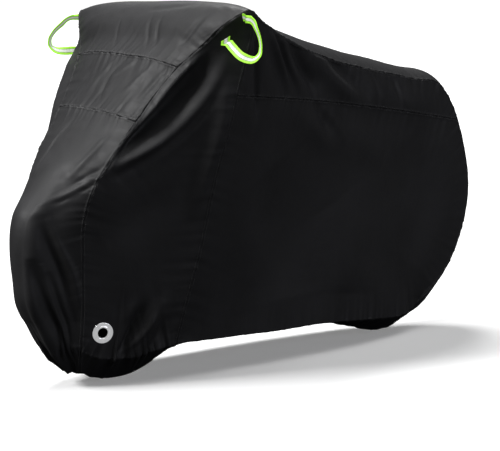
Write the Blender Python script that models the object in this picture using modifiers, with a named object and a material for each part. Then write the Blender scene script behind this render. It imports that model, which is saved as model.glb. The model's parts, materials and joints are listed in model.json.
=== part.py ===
"""A fitted bicycle cover, as it hangs over a bicycle that is not built.

The cover is a hollow shell of sewn cloth panels. A long gore runs from under the front wheel, over the
handlebar and along the back to under the rear wheel. Two sides hang from its edges, each of a front panel,
a strip above the front hem that holds an eyelet, a yoke under the back and a rear panel. A webbing loop is
sewn on at each end of the bar.

Lengths are in metres. The tables give x from the bar, growing to the rear, and z above the floor that the
wheels stand on. The left side, on -Y, and the right side, on +Y, share them. At the end everything is moved
so that the origin is under the top of the hood, where the handlebar holds the cover up.
"""

import math
from collections import namedtuple

import bmesh
import bpy
import numpy as np
from mathutils import Matrix, Vector
from mathutils.bvhtree import BVHTree

# ---------------------------------------------------------------------------------------------------------
# Driving sizes

SHEET = 0.002            # cloth and webbing, drawn a little thick
SEAM_PULL = 0.0003       # each panel ends this far short of its seam
HEM_PULL = 0.0012        # and this far where a hem turns under, so that its corners don't meet
EYELET_OUTER = 0.030     # radius of an eyelet's flange
EYELET_BORE = 0.015      # radius of the hole through it
EYELET_WALL = 0.0015     # between the bore and the cloth
EYELET_CLEAR = 0.0005    # between the eyelet and the cloth round it
FLANGE = 0.0016          # height of the domed flange
GRIP_CLEAR = 0.0003      # between a flange and the cloth
FLAT_ROUND_EYELET = 0.046    # radius of the flat cloth round an eyelet
BLEND_ROUND_EYELET = 0.085   # radius at which the folds are back at their full height
WEBBING_WIDTH = 0.025
TAB_CLEAR = 0.0013       # between a sewn loop end and the cloth under it
LOOP_STEPS = 30          # lengthwise cells of a loop
SEWN_STEPS = 2           # of these, how many lie on the cloth at each end
LIFT_PER_STEP = 0.0020   # the least that a loop then rises from the cloth with each step
FAR_OUT = 0.3            # a length that is surely outside the cover, seen from a loop
FAR_SIDE = 9.0           # a distance far out to the side of the whole cover
GATHER_FADE = 0.22       # height over which a gather of the gore fades out
FRONT_ONLY = -0.15       # gathers of the gore lie before this x
FOLD_FADE = 0.030        # folds of a side fade out this near to its edge seam
STRIP_RISE = 0.022       # from the seam's row "low on the wheel" up to the strip's top
YOKE_DROP = 0.050        # from the yoke seam down the gore's edge to the row "yoke end"
INSIDE = (0.35, 0.0, 0.5)        # a point well inside the cover

# The gore's edge seam, from the front hem's edge over the bar to the rear hem's edge. "half" is half the
# gore's width there, "rise" how far its middle stands proud of the seams, "square" how flat its top is.
Seam = namedtuple("Seam", "place x z half rise square")
SEAM = [
    Seam("front hem edge", -0.345, 0.045, 0.045, 0.012, 2.0),
    Seam("front hem", -0.366, 0.113, 0.081, 0.060, 2.0),
    Seam("low on the wheel", -0.370, 0.212, 0.097, 0.130, 2.0),
    Seam("front of the wheel", -0.380, 0.367, 0.113, 0.149, 2.0),
    Seam("high on the wheel", -0.385, 0.490, 0.131, 0.136, 2.0),
    Seam("above the wheel", -0.368, 0.576, 0.155, 0.066, 2.0),
    Seam("fork", -0.322, 0.655, 0.172, 0.042, 2.2),
    Seam("lower cross seam", -0.247, 0.752, 0.187, 0.030, 2.4),
    Seam("upper cross seam", -0.136, 0.901, 0.235, 0.030, 2.8),
    Seam("under the bar", -0.085, 0.962, 0.282, 0.030, 3.4),
    Seam("front of the bar", -0.048, 1.023, 0.341, 0.030, 4.2),
    Seam("bar end", -0.010, 1.054, 0.382, 0.028, 5.0),
    Seam("behind the bar", 0.053, 1.034, 0.365, 0.036, 5.0),
    Seam("hood", 0.115, 1.014, 0.330, 0.044, 3.2),
    Seam("hood back", 0.219, 0.982, 0.280, 0.054, 2.6),
    Seam("top tube", 0.335, 0.953, 0.230, 0.060, 2.2),
    Seam("saddle nose", 0.461, 0.924, 0.180, 0.060, 2.0),
    Seam("saddle", 0.623, 0.892, 0.130, 0.053, 2.0),
    Seam("behind the saddle", 0.792, 0.866, 0.100, 0.048, 2.0),
    Seam("tail", 0.991, 0.835, 0.085, 0.038, 2.0),
    Seam("tail corner", 1.109, 0.816, 0.080, 0.036, 2.0),
    Seam("under the tail", 1.185, 0.736, 0.080, 0.044, 2.0),
    Seam("yoke end", 1.222, 0.647, 0.080, 0.058, 2.0),
    Seam("rear of the wheel", 1.261, 0.489, 0.080, 0.066, 2.0),
    Seam("low on the rear", 1.244, 0.344, 0.080, 0.060, 2.0),
    Seam("rear foot", 1.166, 0.204, 0.080, 0.048, 2.0),
    Seam("rear hem", 1.030, 0.098, 0.075, 0.055, 2.0),
    Seam("rear hem edge", 0.985, 0.046, 0.045, 0.026, 2.0),
]

# The side's hem: where it turns under, and its drawn-in edge. Round a wheel the edge runs in to the tyre.
Hem = namedtuple("Hem", "place x z half edge_x edge_z edge_half")
HEM = [
    Hem("front corner", -0.366, 0.113, 0.081, -0.345, 0.045, 0.045),
    Hem("before the eyelet", -0.328, 0.092, 0.100, -0.296, 0.021, 0.038),
    Hem("under the eyelet", -0.286, 0.083, 0.112, -0.237, 0.010, 0.036),
    Hem("front foot", -0.240, 0.081, 0.127, -0.194, 0.009, 0.036),
    Hem("behind the foot", -0.190, 0.089, 0.147, -0.145, 0.016, 0.037),
    Hem("rise", -0.145, 0.101, 0.163, -0.100, 0.034, 0.045),
    Hem("long seam", -0.099, 0.110, 0.175, -0.080, 0.080, 0.100),
    Hem("crank", 0.000, 0.110, 0.180, 0.002, 0.107, 0.150),
    Hem("pedals", 0.165, 0.106, 0.184, 0.165, 0.104, 0.162),
    Hem("chain", 0.330, 0.102, 0.185, 0.330, 0.100, 0.163),
    Hem("stay", 0.500, 0.100, 0.177, 0.505, 0.095, 0.150),
    Hem("before the rear wheel", 0.660, 0.087, 0.160, 0.680, 0.060, 0.092),
    Hem("rear wheel", 0.780, 0.076, 0.142, 0.790, 0.028, 0.045),
    Hem("rear foot", 0.870, 0.069, 0.125, 0.870, 0.014, 0.037),
    Hem("behind the rear foot", 0.955, 0.073, 0.101, 0.940, 0.022, 0.040),
    Hem("rear corner", 1.030, 0.098, 0.075, 0.985, 0.046, 0.045),
]

# The long seam of a side, from the hem up to the bar end, on the ridge that hangs from the bar end.
Ridge = namedtuple("Ridge", "place x z half")
LONG_SEAM = [
    Ridge("hem", -0.099, 0.110, 0.175),
    Ridge("strip top", -0.085, 0.225, 0.203),
    Ridge("low", -0.058, 0.382, 0.236),
    Ridge("middle", -0.036, 0.580, 0.279),
    Ridge("yoke", -0.003, 0.822, 0.331),
    Ridge("high", 0.016, 0.945, 0.357),
    Ridge("under the bar end", 0.020, 1.000, 0.368),
    Ridge("bar end", -0.010, 1.054, 0.382),
]

# The yoke seam of a side, from the long seam back to the gore, and the top of the strip above the front hem.
Line = namedtuple("Line", "place x z")
YOKE_SEAM = [
    Line("long seam", -0.003, 0.822),
    Line("front", 0.149, 0.811),
    Line("middle", 0.497, 0.782),
    Line("back", 0.930, 0.732),
    Line("gore", 1.203, 0.694),
]
STRIP_TOP = [
    Line("gore", -0.371, 0.235),
    Line("middle", -0.250, 0.243),
    Line("long seam", -0.085, 0.225),
]

# Folds of a side, as soft ridges (plus) and troughs (minus) along a bent line from start by mid to end.
# "width" is the fold's half width, "left" and "right" how far the cloth moves out on each side.
Fold = namedtuple("Fold", "place start mid end width left right")
SIDE_FOLDS = [
    Fold("trough under the seam", (-0.062, 0.945), (-0.155, 0.800), (-0.330, 0.620), 0.038, -0.034, -0.027),
    Fold("ridge below it", (-0.030, 0.935), (-0.115, 0.750), (-0.300, 0.600), 0.034, 0.020, 0.008),
    Fold("second trough", (-0.030, 0.700), (-0.130, 0.560), (-0.330, 0.430), 0.055, -0.010, -0.006),
    Fold("billow over the right lever", (-0.068, 0.965), (-0.106, 0.870), (-0.280, 0.630), 0.050, 0.0, 0.094),
    Fold("fan, first trough", (0.050, 0.985), (0.085, 0.880), (0.110, 0.760), 0.022, -0.011, -0.011),
    Fold("fan, second trough", (0.120, 0.965), (0.200, 0.890), (0.260, 0.800), 0.026, -0.010, -0.007),
    Fold("fan, third trough", (0.200, 0.955), (0.340, 0.890), (0.480, 0.820), 0.028, -0.009, -0.008),
    Fold("pull under the yoke", (0.300, 0.790), (0.460, 0.690), (0.640, 0.620), 0.045, 0.011, 0.008),
    Fold("pull from the saddle", (0.560, 0.760), (0.680, 0.660), (0.800, 0.590), 0.050, 0.010, 0.010),
    Fold("soft hollow", (0.250, 0.620), (0.330, 0.420), (0.360, 0.200), 0.120, -0.018, -0.018),
    Fold("soft swell", (0.560, 0.480), (0.600, 0.330), (0.600, 0.180), 0.110, 0.016, 0.013),
    Fold("hollow by the rear wheel", (0.930, 0.640), (1.000, 0.420), (0.960, 0.230), 0.090, -0.012, -0.011),
    Fold("gather by the eyelet", (-0.205, 0.235), (-0.232, 0.165), (-0.255, 0.085), 0.016, -0.010, -0.010),
    Fold("second gather", (-0.150, 0.250), (-0.185, 0.170), (-0.215, 0.088), 0.018, 0.009, 0.009),
    Fold("third gather", (-0.130, 0.200), (-0.150, 0.150), (-0.180, 0.092), 0.015, -0.008, -0.008),
]

# Gathers of the gore round the front wheel: each runs up from the hem to "top", a height above the floor.
Gather = namedtuple("Gather", "place across top height width")
GATHERS = [
    Gather("right edge", 0.72, 0.300, 0.006, 0.110),
    Gather("right trough", 0.48, 0.340, -0.007, 0.100),
    Gather("right ridge", 0.26, 0.330, 0.006, 0.100),
    Gather("middle trough", 0.02, 0.300, -0.005, 0.110),
    Gather("tyre's edge", -0.34, 0.600, 0.011, 0.130),
    Gather("left flank", -0.66, 0.640, -0.010, 0.200),
    Gather("left edge", -0.86, 0.330, 0.004, 0.090),
]

# The webbing loops, from the upper sewn end round to the lower one. wx, wy and wz point along the width.
Web = namedtuple("Web", "place x y z wx wy wz")
LEFT_LOOP = [
    Web("upper end", -0.018, -0.373, 1.039, 0.30, 0.49, -0.82),
    Web("off the cloth", -0.011, -0.384, 1.038, 0.29, 0.69, -0.66),
    Web("out", -0.010, -0.404, 1.028, 0.26, 0.87, -0.42),
    Web("over", -0.011, -0.420, 1.009, 0.36, 0.90, -0.25),
    Web("edge on", -0.007, -0.430, 0.982, 0.43, 0.88, -0.18),
    Web("down", -0.005, -0.432, 0.956, 0.41, 0.91, -0.09),
    Web("turn", -0.010, -0.428, 0.933, 0.30, 0.93, 0.19),
    Web("bottom", -0.025, -0.416, 0.923, 0.40, 0.48, 0.78),
    Web("up", -0.038, -0.394, 0.931, 0.47, -0.29, 0.83),
    Web("back to the cloth", -0.039, -0.358, 0.953, 0.60, -0.43, 0.67),
    Web("lower end", -0.042, -0.328, 0.981, 0.64, -0.47, 0.61),
]
RIGHT_LOOP = [
    Web("upper end", -0.014, 0.380, 1.037, 0.50, 0.25, -0.78),
    Web("out", -0.030, 0.403, 1.034, 0.70, 0.52, -0.50),
    Web("over", -0.058, 0.418, 1.012, 0.76, 0.52, -0.40),
    Web("front", -0.080, 0.426, 0.990, 0.80, 0.56, -0.26),
    Web("down", -0.094, 0.426, 0.967, 0.84, 0.54, -0.10),
    Web("turn", -0.097, 0.416, 0.949, 0.88, 0.45, 0.15),
    Web("bottom", -0.091, 0.398, 0.938, 0.66, 0.32, 0.68),
    Web("back to the cloth", -0.072, 0.378, 0.935, 0.20, 0.20, 0.95),
    Web("lower end", -0.045, 0.362, 0.938, 0.05, 0.05, 1.00),
]

EYELET_X = -0.312        # middle of an eyelet
EYELET_Z = 0.161
EYELET_STEPS = 24        # of a turn
HOLE_DEPTH = 0.030       # of the cutter for an eyelet's hole
RIGHT_CLIMB = 0.030      # the cross seams' right ends lie this much further up the gore than their left

# Cells between the gore's corners, counted along its edge.
CELLS = {
    "hem": 2,
    "strip": 5,
    "front": 16,
    "wheel to lower seam": 6,
    "lower to upper seam": 6,
    "upper seam to bar": 8,
    "bar to hood back": 6,
    "hood back to tail": 16,
    "tail to yoke": 5,
    "yoke to rear hem": 16,
    "rear hem": 2,
}
YOKE_STEP = 11           # the yoke seam leaves the long seam this many cells above the strip
NO_ROWS = slice(0)       # which rows of a panel's grid are hem
FIRST_ROWS = slice(0, CELLS["hem"])
LAST_ROWS = slice(-CELLS["rear hem"], None)


# ---------------------------------------------------------------------------------------------------------
# Curves and patches

def smooth_curve(table, columns):
    """The rows of a table as points on one smooth curve: a function of the length along its chords."""
    points = np.array([[getattr(row, name) for name in columns] for row in table])
    steps = np.linalg.norm(np.diff(points[:, :2], axis=0), axis=1)
    length = np.concatenate([[0.0], np.cumsum(steps)])
    slopes = np.gradient(points, length, axis=0)

    def at(where):
        where = np.clip(np.atleast_1d(where), 0.0, length[-1])
        i = np.clip(np.searchsorted(length, where, side="right") - 1, 0, len(length) - 2)
        span = (length[i + 1] - length[i])[:, None]
        t = ((where - length[i])[:, None]) / span
        start = points[i] * (2 * t**3 - 3 * t**2 + 1) + slopes[i] * span * (t**3 - 2 * t**2 + t)
        end = points[i + 1] * (3 * t**2 - 2 * t**3) + slopes[i + 1] * span * (t**3 - t**2)
        return start + end

    return at, length


def row_length(table, length, place):
    """How far along a table's curve the named row is."""
    return length[[row.place for row in table].index(place)]


def patch(bottom, top, left, right):
    """A four-sided patch of points between four edges: rows run from bottom to top."""
    u = np.linspace(0.0, 1.0, len(bottom))[None, :, None]
    v = np.linspace(0.0, 1.0, len(left))[:, None, None]
    between = (1 - v) * bottom[None] + v * top[None] + (1 - u) * left[:, None] + u * right[:, None]
    corners = (1 - v) * ((1 - u) * bottom[0] + u * bottom[-1]) + v * ((1 - u) * top[0] + u * top[-1])
    return between - corners


def film(outline, heights, points):
    """Heights over points inside an outline, stretched over the outline's own heights like a film."""
    flat = points.reshape(-1, 2)
    ahead = np.roll(outline, -1, axis=0)
    result = np.empty(len(flat))
    for k, point in enumerate(flat):
        here = outline - point
        there = ahead - point
        reach = np.linalg.norm(here, axis=1)
        if reach.min() < 1e-6:
            result[k] = heights[reach.argmin()]
            continue
        reach_ahead = np.linalg.norm(there, axis=1)
        cross = here[:, 0] * there[:, 1] - here[:, 1] * there[:, 0]
        dot = (here * there).sum(axis=1)
        half_angle = cross / (reach * reach_ahead + dot + 1e-12)
        weight = (half_angle + np.roll(half_angle, 1)) / reach
        result[k] = (weight * heights).sum() / weight.sum()
    return result.reshape(points.shape[:-1])


def ease(t):
    """0 below 0, 1 above 1, and a smooth step between them."""
    t = np.clip(t, 0.0, 1.0)
    return t * t * (3 - 2 * t)


def distance_to(line, points):
    """Distance from points to a line of points, and how far along the line, from 0 to 1, it is nearest."""
    start, step = line[:-1], np.diff(line, axis=0)
    to_point = points[..., None, :] - start
    t = np.clip((to_point * step).sum(-1) / (step * step).sum(-1), 0.0, 1.0)
    gap = np.linalg.norm(to_point - t[..., None] * step, axis=-1)
    nearest = gap.argmin(-1)
    along = (nearest + np.take_along_axis(t, nearest[..., None], -1)[..., 0]) / len(step)
    return gap.min(-1), along


# ---------------------------------------------------------------------------------------------------------
# The gore

seam_at, seam_length = smooth_curve(SEAM, ("x", "z", "half", "rise", "square"))


def seam_place(place):
    return row_length(SEAM, seam_length, place)


def stations(lead):
    """Where the gore's edge has its corners, and the cells between them. "lead" moves the cross seams up."""
    lengths = [
        seam_place("front hem edge"),
        seam_place("front hem"),
        seam_place("low on the wheel") + STRIP_RISE,
        seam_place("above the wheel"),
        seam_place("lower cross seam") + lead,
        seam_place("upper cross seam") + lead,
        seam_place("bar end"),
        seam_place("hood back"),
        seam_place("tail corner"),
        seam_place("yoke end") - YOKE_DROP,
        seam_place("rear hem"),
        seam_place("rear hem edge"),
    ]
    where = [np.array([lengths[0]])]
    for start, end, cells in zip(lengths, lengths[1:], CELLS.values()):
        where.append(np.linspace(start, end, cells + 1)[1:])
    return np.concatenate(where)


STATIONS = {-1: stations(0.0), 1: stations(RIGHT_CLIMB)}
CORNER = dict(zip(CELLS, np.concatenate([[0], np.cumsum(list(CELLS.values()))])))


def gore_surface(where, across):
    """Points of the gore: "where" is the length along its seam, "across" runs from -1, left, to 1, right."""
    row = seam_at(where.ravel())
    step = 0.004
    ahead = seam_at(where.ravel() + step)[:, :2] - seam_at(where.ravel() - step)[:, :2]
    ahead /= np.linalg.norm(ahead, axis=1)[:, None]
    out = np.stack([-ahead[:, 1], ahead[:, 0]], axis=1)
    q = across.ravel()
    crown = row[:, 3] * (1 - np.abs(q) ** row[:, 4])
    for gather in GATHERS:
        low = ease((gather.top - row[:, 1]) / GATHER_FADE) * (row[:, 0] < FRONT_ONLY)
        spread = np.exp(-((q - gather.across) / gather.width) ** 2)
        crown += gather.height * low * spread * (1 - q**4)
    flat = row[:, :2] + out * crown[:, None]
    return np.stack([flat[:, 0], q * row[:, 2], flat[:, 1]], axis=1).reshape(where.shape + (3,))


def gore_panel(first, last, cells_across):
    """The gore between two of its station numbers."""
    across = np.linspace(-1.0, 1.0, cells_across + 1)[None, :]
    left = STATIONS[-1][first:last + 1][:, None]
    right = STATIONS[1][first:last + 1][:, None]
    where = left + (right - left) * (across + 1) / 2
    return gore_surface(where, np.broadcast_to(across, where.shape))


# ---------------------------------------------------------------------------------------------------------
# The sides

hem_at, hem_length = smooth_curve(HEM, ("x", "z", "half", "edge_x", "edge_z", "edge_half"))
long_at, long_length = smooth_curve(LONG_SEAM, ("x", "z", "half"))
yoke_at, yoke_length = smooth_curve(YOKE_SEAM, ("x", "z"))
strip_at, strip_length = smooth_curve(STRIP_TOP, ("x", "z"))


class Side:
    """One side of the cover: hand is -1 for the left, 1 for the right."""

    def __init__(self, hand):
        self.hand = hand
        self.seam = seam_at(STATIONS[hand])[:, :3]
        bar = CORNER["bar to hood back"]
        corners = ("hem", "strip top", "yoke", "bar end")
        long_rows = [row_length(LONG_SEAM, long_length, place) for place in corners]
        low = np.linspace(long_rows[0], long_rows[1], CELLS["strip"] + 1)
        middle = np.linspace(long_rows[1], long_rows[2], YOKE_STEP + 1)
        high = np.linspace(long_rows[2], long_rows[3], CELLS["front"] - YOKE_STEP + 1)
        self.long_seam = long_at(np.concatenate([low, middle[1:], high[1:]]))
        hem_mid = row_length(HEM, hem_length, "long seam")
        front_cells = bar - CORNER["wheel to lower seam"]
        rear_cells = CORNER["tail to yoke"] - bar
        self.front_hem = hem_at(np.linspace(0.0, hem_mid, front_cells + 1))
        self.rear_hem = hem_at(np.linspace(hem_mid, hem_length[-1], rear_cells + 1))
        self.yoke = yoke_at(np.linspace(0.0, yoke_length[-1], rear_cells + 1))
        self.strip = strip_at(np.linspace(0.0, strip_length[-1], front_cells + 1))
        # Corners that two lines share are made exactly the same point.
        self.strip[0] = self.seam[CORNER["front"], :2]
        self.strip[-1] = self.long_seam[CELLS["strip"], :2]
        self.yoke[0] = self.long_seam[CELLS["strip"] + YOKE_STEP, :2]
        self.yoke[-1] = self.seam[CORNER["yoke to rear hem"], :2]
        front_edge = self.seam[CORNER["strip"]:bar + 1]
        rear_edge = self.seam[bar:CORNER["rear hem"] + 1]
        front_hem = self.front_hem[::-1, :3]
        rear_hem = self.rear_hem[::-1, :3]
        self.front_outline = np.concatenate([front_edge, self.long_seam[::-1][1:], front_hem[1:-1]])
        self.rear_outline = np.concatenate([rear_edge, rear_hem[1:], self.long_seam[1:-1]])
        self.edge = self.seam[CORNER["strip"]:CORNER["rear hem"] + 1, :2]

    def folded(self, points):
        """How far the folds move the cloth out."""
        gap, _ = distance_to(self.edge, points)
        total = np.zeros(points.shape[:-1])
        for fold in SIDE_FOLDS:
            t = np.linspace(0.0, 1.0, 13)[:, None]
            start, mid, end = (np.array(p) for p in (fold.start, fold.mid, fold.end))
            line = (1 - t) ** 2 * start + 2 * t * (1 - t) * (2 * mid - (start + end) / 2) + t**2 * end
            away, along = distance_to(line, points)
            height = fold.right if self.hand > 0 else fold.left
            taper = np.sin(np.pi * np.clip(0.08 + 0.84 * along, 0.0, 1.0)) ** 0.7
            total += height * np.exp(-((away / fold.width) ** 2)) * taper
        return total * ease(gap / FOLD_FADE)

    def widths(self, points, front):
        """Half the cover's width at points of the front or the rear region."""
        outline = self.front_outline if front else self.rear_outline
        half = film(outline[:, :2], outline[:, 2], points) + self.folded(points)
        if not front:
            return half
        middle = np.array([EYELET_X, EYELET_Z])
        step = 0.012
        probe = middle + step * np.array([[0, 0], [1, 0], [-1, 0], [0, 1], [0, -1]])
        near = film(outline[:, :2], outline[:, 2], probe)
        slope = np.array([near[1] - near[2], near[3] - near[4]]) / (2 * step)
        self.eyelet = (middle, near[0], slope)
        level = near[0] + (points - middle) @ slope
        away = np.linalg.norm(points - middle, axis=-1)
        keep = ease((away - FLAT_ROUND_EYELET) / (BLEND_ROUND_EYELET - FLAT_ROUND_EYELET))
        return level * (1 - keep) + half * keep

    def solid_points(self, points, half):
        return np.stack([points[..., 0], self.hand * half, points[..., 1]], axis=-1)

    def with_hem(self, grid, hem, cells):
        """The grid, whose first row is the hem line, with the turned-under hem before that row."""
        edge = np.stack([hem[:, 3], self.hand * hem[:, 5], hem[:, 4]], axis=-1)
        rows = [edge + (grid[0] - edge) * t for t in np.linspace(0.0, 1.0, cells + 1)[:-1]]
        return np.concatenate([np.array(rows), grid])

    def grids(self):
        """The four panels of the side, each a grid of points."""
        bar = CORNER["bar to hood back"]
        strip = patch(
            self.front_hem[:, :2],
            self.strip,
            self.seam[CORNER["strip"]:CORNER["front"] + 1, :2],
            self.long_seam[:CELLS["strip"] + 1, :2],
        )
        front = patch(
            self.strip,
            self.seam[CORNER["wheel to lower seam"]:bar + 1, :2],
            self.seam[CORNER["front"]:CORNER["wheel to lower seam"] + 1, :2],
            self.long_seam[CELLS["strip"]:, :2],
        )
        yoke = patch(
            self.yoke,
            self.seam[bar:CORNER["tail to yoke"] + 1, :2],
            self.long_seam[CELLS["strip"] + YOKE_STEP:, :2],
            self.seam[CORNER["tail to yoke"]:CORNER["yoke to rear hem"] + 1, :2][::-1],
        )
        rear = patch(
            self.rear_hem[:, :2],
            self.yoke,
            self.long_seam[:CELLS["strip"] + YOKE_STEP + 1, :2],
            self.seam[CORNER["yoke to rear hem"]:CORNER["rear hem"] + 1, :2][::-1],
        )
        made = {
            "side_front": self.solid_points(front, self.widths(front, True)),
            "side_yoke": self.solid_points(yoke, self.widths(yoke, False)),
        }
        strip = self.solid_points(strip, self.widths(strip, True))
        rear = self.solid_points(rear, self.widths(rear, False))
        made["side_strip"] = self.with_hem(strip, self.front_hem, CELLS["hem"])
        made["side_rear"] = self.with_hem(rear, self.rear_hem, CELLS["hem"])
        return made


# ---------------------------------------------------------------------------------------------------------
# Solids and finishes

def finish(name, colour, roughness, metallic=0.0):
    """A plain material."""
    material = bpy.data.materials.new(name)
    material.use_nodes = True
    shader = material.node_tree.nodes["Principled BSDF"]
    shader.inputs["Base Color"].default_value = (*colour, 1.0)
    shader.inputs["Roughness"].default_value = roughness
    shader.inputs["Metallic"].default_value = metallic
    material.diffuse_color = (*colour, 1.0)
    return material


def place_mesh(name, mesh, material, collection):
    mesh.materials.append(material)
    piece = bpy.data.objects.new(name, mesh)
    collection.objects.link(piece)
    return piece


def pulled_in(grid, hem_rows):
    """The grid with its four edges drawn in, which leaves the gap at each seam. Some rows may be a hem."""
    grid = grid.copy()
    for axis in (0, 1):
        lines = np.moveaxis(grid, axis, 0)
        pull = np.full(lines.shape[1], SEAM_PULL)
        if axis == 1:
            pull[hem_rows] = HEM_PULL
        for end, inner in ((0, 1), (-1, -2)):
            step = lines[inner] - lines[end]
            lines[end] += step * (pull / np.linalg.norm(step, axis=-1))[:, None]
    return grid


def cloth_panel(name, grid, outward, material, collection):
    """A sheet of cloth over a grid of points, thickened outward. "outward" is a point far outside it."""
    rows, columns = grid.shape[:2]
    mesh = bpy.data.meshes.new(name)
    shape = bmesh.new()
    dots = [[shape.verts.new(grid[i, j]) for j in range(columns)] for i in range(rows)]
    for i in range(rows - 1):
        for j in range(columns - 1):
            shape.faces.new((dots[i][j], dots[i][j + 1], dots[i + 1][j + 1], dots[i + 1][j]))
    shape.normal_update()
    middle = dots[rows // 2][columns // 2]
    if middle.normal.dot(Vector(outward) - middle.co) < 0:
        bmesh.ops.reverse_faces(shape, faces=shape.faces[:])
    shape.to_mesh(mesh)
    shape.free()
    mesh.shade_smooth()
    panel = place_mesh(name, mesh, material, collection)
    thick = panel.modifiers.new("Thickness", "SOLIDIFY")
    thick.thickness = SHEET
    thick.offset = 1.0
    return panel


def eyelet_frame(side):
    """The middle of the cloth at the eyelet and the direction out of it."""
    middle, half, slope = side.eyelet
    out = Vector((-slope[0], side.hand, -slope[1])).normalized()
    base = Vector((middle[0], side.hand * half, middle[1]))
    return base + out * (SHEET / 2), out


def eyelet_hole(side, name, cutters):
    """A round cutter through the strip where the eyelet sits."""
    middle, out = eyelet_frame(side)
    bpy.ops.mesh.primitive_cylinder_add(
        vertices=32, radius=EYELET_BORE + EYELET_WALL + EYELET_CLEAR, depth=HOLE_DEPTH, location=middle,
        rotation=out.to_track_quat("Z", "Y").to_euler(),
    )
    cutter = bpy.context.object
    cutter.name = name
    cutter.hide_render = True
    cutter.display_type = "WIRE"
    for collection in cutter.users_collection:
        collection.objects.unlink(cutter)
    cutters.objects.link(cutter)
    return cutter


def eyelet(name, side, material, collection):
    """A metal eyelet: a barrel with a domed flange on each face of the cloth, turned from its section."""
    grip = SHEET / 2 + GRIP_CLEAR
    barrel = EYELET_BORE + EYELET_WALL
    bead = EYELET_BORE + 0.0035
    face = [
        (EYELET_OUTER, grip),
        (EYELET_OUTER, grip + 0.5 * FLANGE),
        (EYELET_OUTER - 0.002, grip + 0.85 * FLANGE),
        (bead + 0.003, grip + 0.7 * FLANGE),
        (bead, grip + FLANGE),
        (EYELET_BORE + 0.001, grip + 0.8 * FLANGE),
        (EYELET_BORE, grip + 0.3 * FLANGE),
    ]
    section = face + [(r, -z) for r, z in reversed(face)] + [(barrel, -grip), (barrel, grip)]
    mesh = bpy.data.meshes.new(name)
    lines = [(i, (i + 1) % len(section)) for i in range(len(section))]
    mesh.from_pydata([(r, 0.0, z) for r, z in section], lines, [])
    ring = place_mesh(name, mesh, material, collection)
    turn = ring.modifiers.new("Turn", "SCREW")
    turn.steps = turn.render_steps = EYELET_STEPS
    turn.use_merge_vertices = True
    turn.merge_threshold = 0.00001
    turn.use_normal_flip = True
    middle, out = eyelet_frame(side)
    ring.matrix_world = Matrix.Translation(middle) @ out.to_track_quat("Z", "Y").to_matrix().to_4x4()
    return ring


def webbing_loop(name, rows, under, material, collection):
    """A webbing loop swept along its rows. Its two ends lie flat on the cloth of the panels under them."""
    path_at, length = smooth_curve(rows, ("x", "z", "y", "wx", "wy", "wz"))
    steps = LOOP_STEPS
    data = path_at(np.linspace(0.0, length[-1], steps + 1))
    centre = np.stack([data[:, 0], data[:, 2], data[:, 1]], axis=1)
    ahead = np.gradient(centre, axis=0)
    ahead /= np.linalg.norm(ahead, axis=1)[:, None]
    wide = data[:, 3:6] - (data[:, 3:6] * ahead).sum(axis=1)[:, None] * ahead
    wide *= (WEBBING_WIDTH / 2) / np.linalg.norm(wide, axis=1)[:, None]
    strip = np.stack([centre - wide, centre, centre + wide], axis=1)
    inward = Vector((0.0, -math.copysign(1.0, centre[0, 1]), 0.0))
    # The webbing is thickened on one face, which lies against the cloth where that face looks inward.
    facing_in = np.cross(ahead, wide) @ np.array(inward)
    facing_in *= -math.copysign(1.0, facing_in[0])
    for i in range(steps + 1):
        from_end = min(i, steps - i) - SEWN_STEPS
        for j in range(3):
            start = Vector(strip[i, j]) - inward * FAR_OUT
            hits = [tree.ray_cast(start, inward) for tree in under]
            hits = [hit for hit in hits if hit[0] is not None]
            if not hits:
                continue
            spot, _, _, _ = min(hits, key=lambda hit: hit[3])
            least = TAB_CLEAR + max(from_end, 0) * LIFT_PER_STEP + (SHEET if facing_in[i] > 0 else 0.0)
            if from_end < 0 or (Vector(strip[i, j]) - spot).dot(inward) > -least:
                strip[i, j] = spot - inward * least
    mesh = bpy.data.meshes.new(name)
    shape = bmesh.new()
    dots = [[shape.verts.new(strip[i, j]) for j in range(3)] for i in range(steps + 1)]
    for i in range(steps):
        for j in range(2):
            shape.faces.new((dots[i][j], dots[i][j + 1], dots[i + 1][j + 1], dots[i + 1][j]))
    shape.normal_update()
    shape.faces.ensure_lookup_table()
    if shape.faces[0].normal.dot(inward) > 0:
        bmesh.ops.reverse_faces(shape, faces=shape.faces[:])
    shape.to_mesh(mesh)
    shape.free()
    mesh.shade_smooth()
    loop = place_mesh(name, mesh, material, collection)
    thick = loop.modifiers.new("Thickness", "SOLIDIFY")
    thick.thickness = SHEET
    thick.offset = 1.0
    return loop


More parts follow.
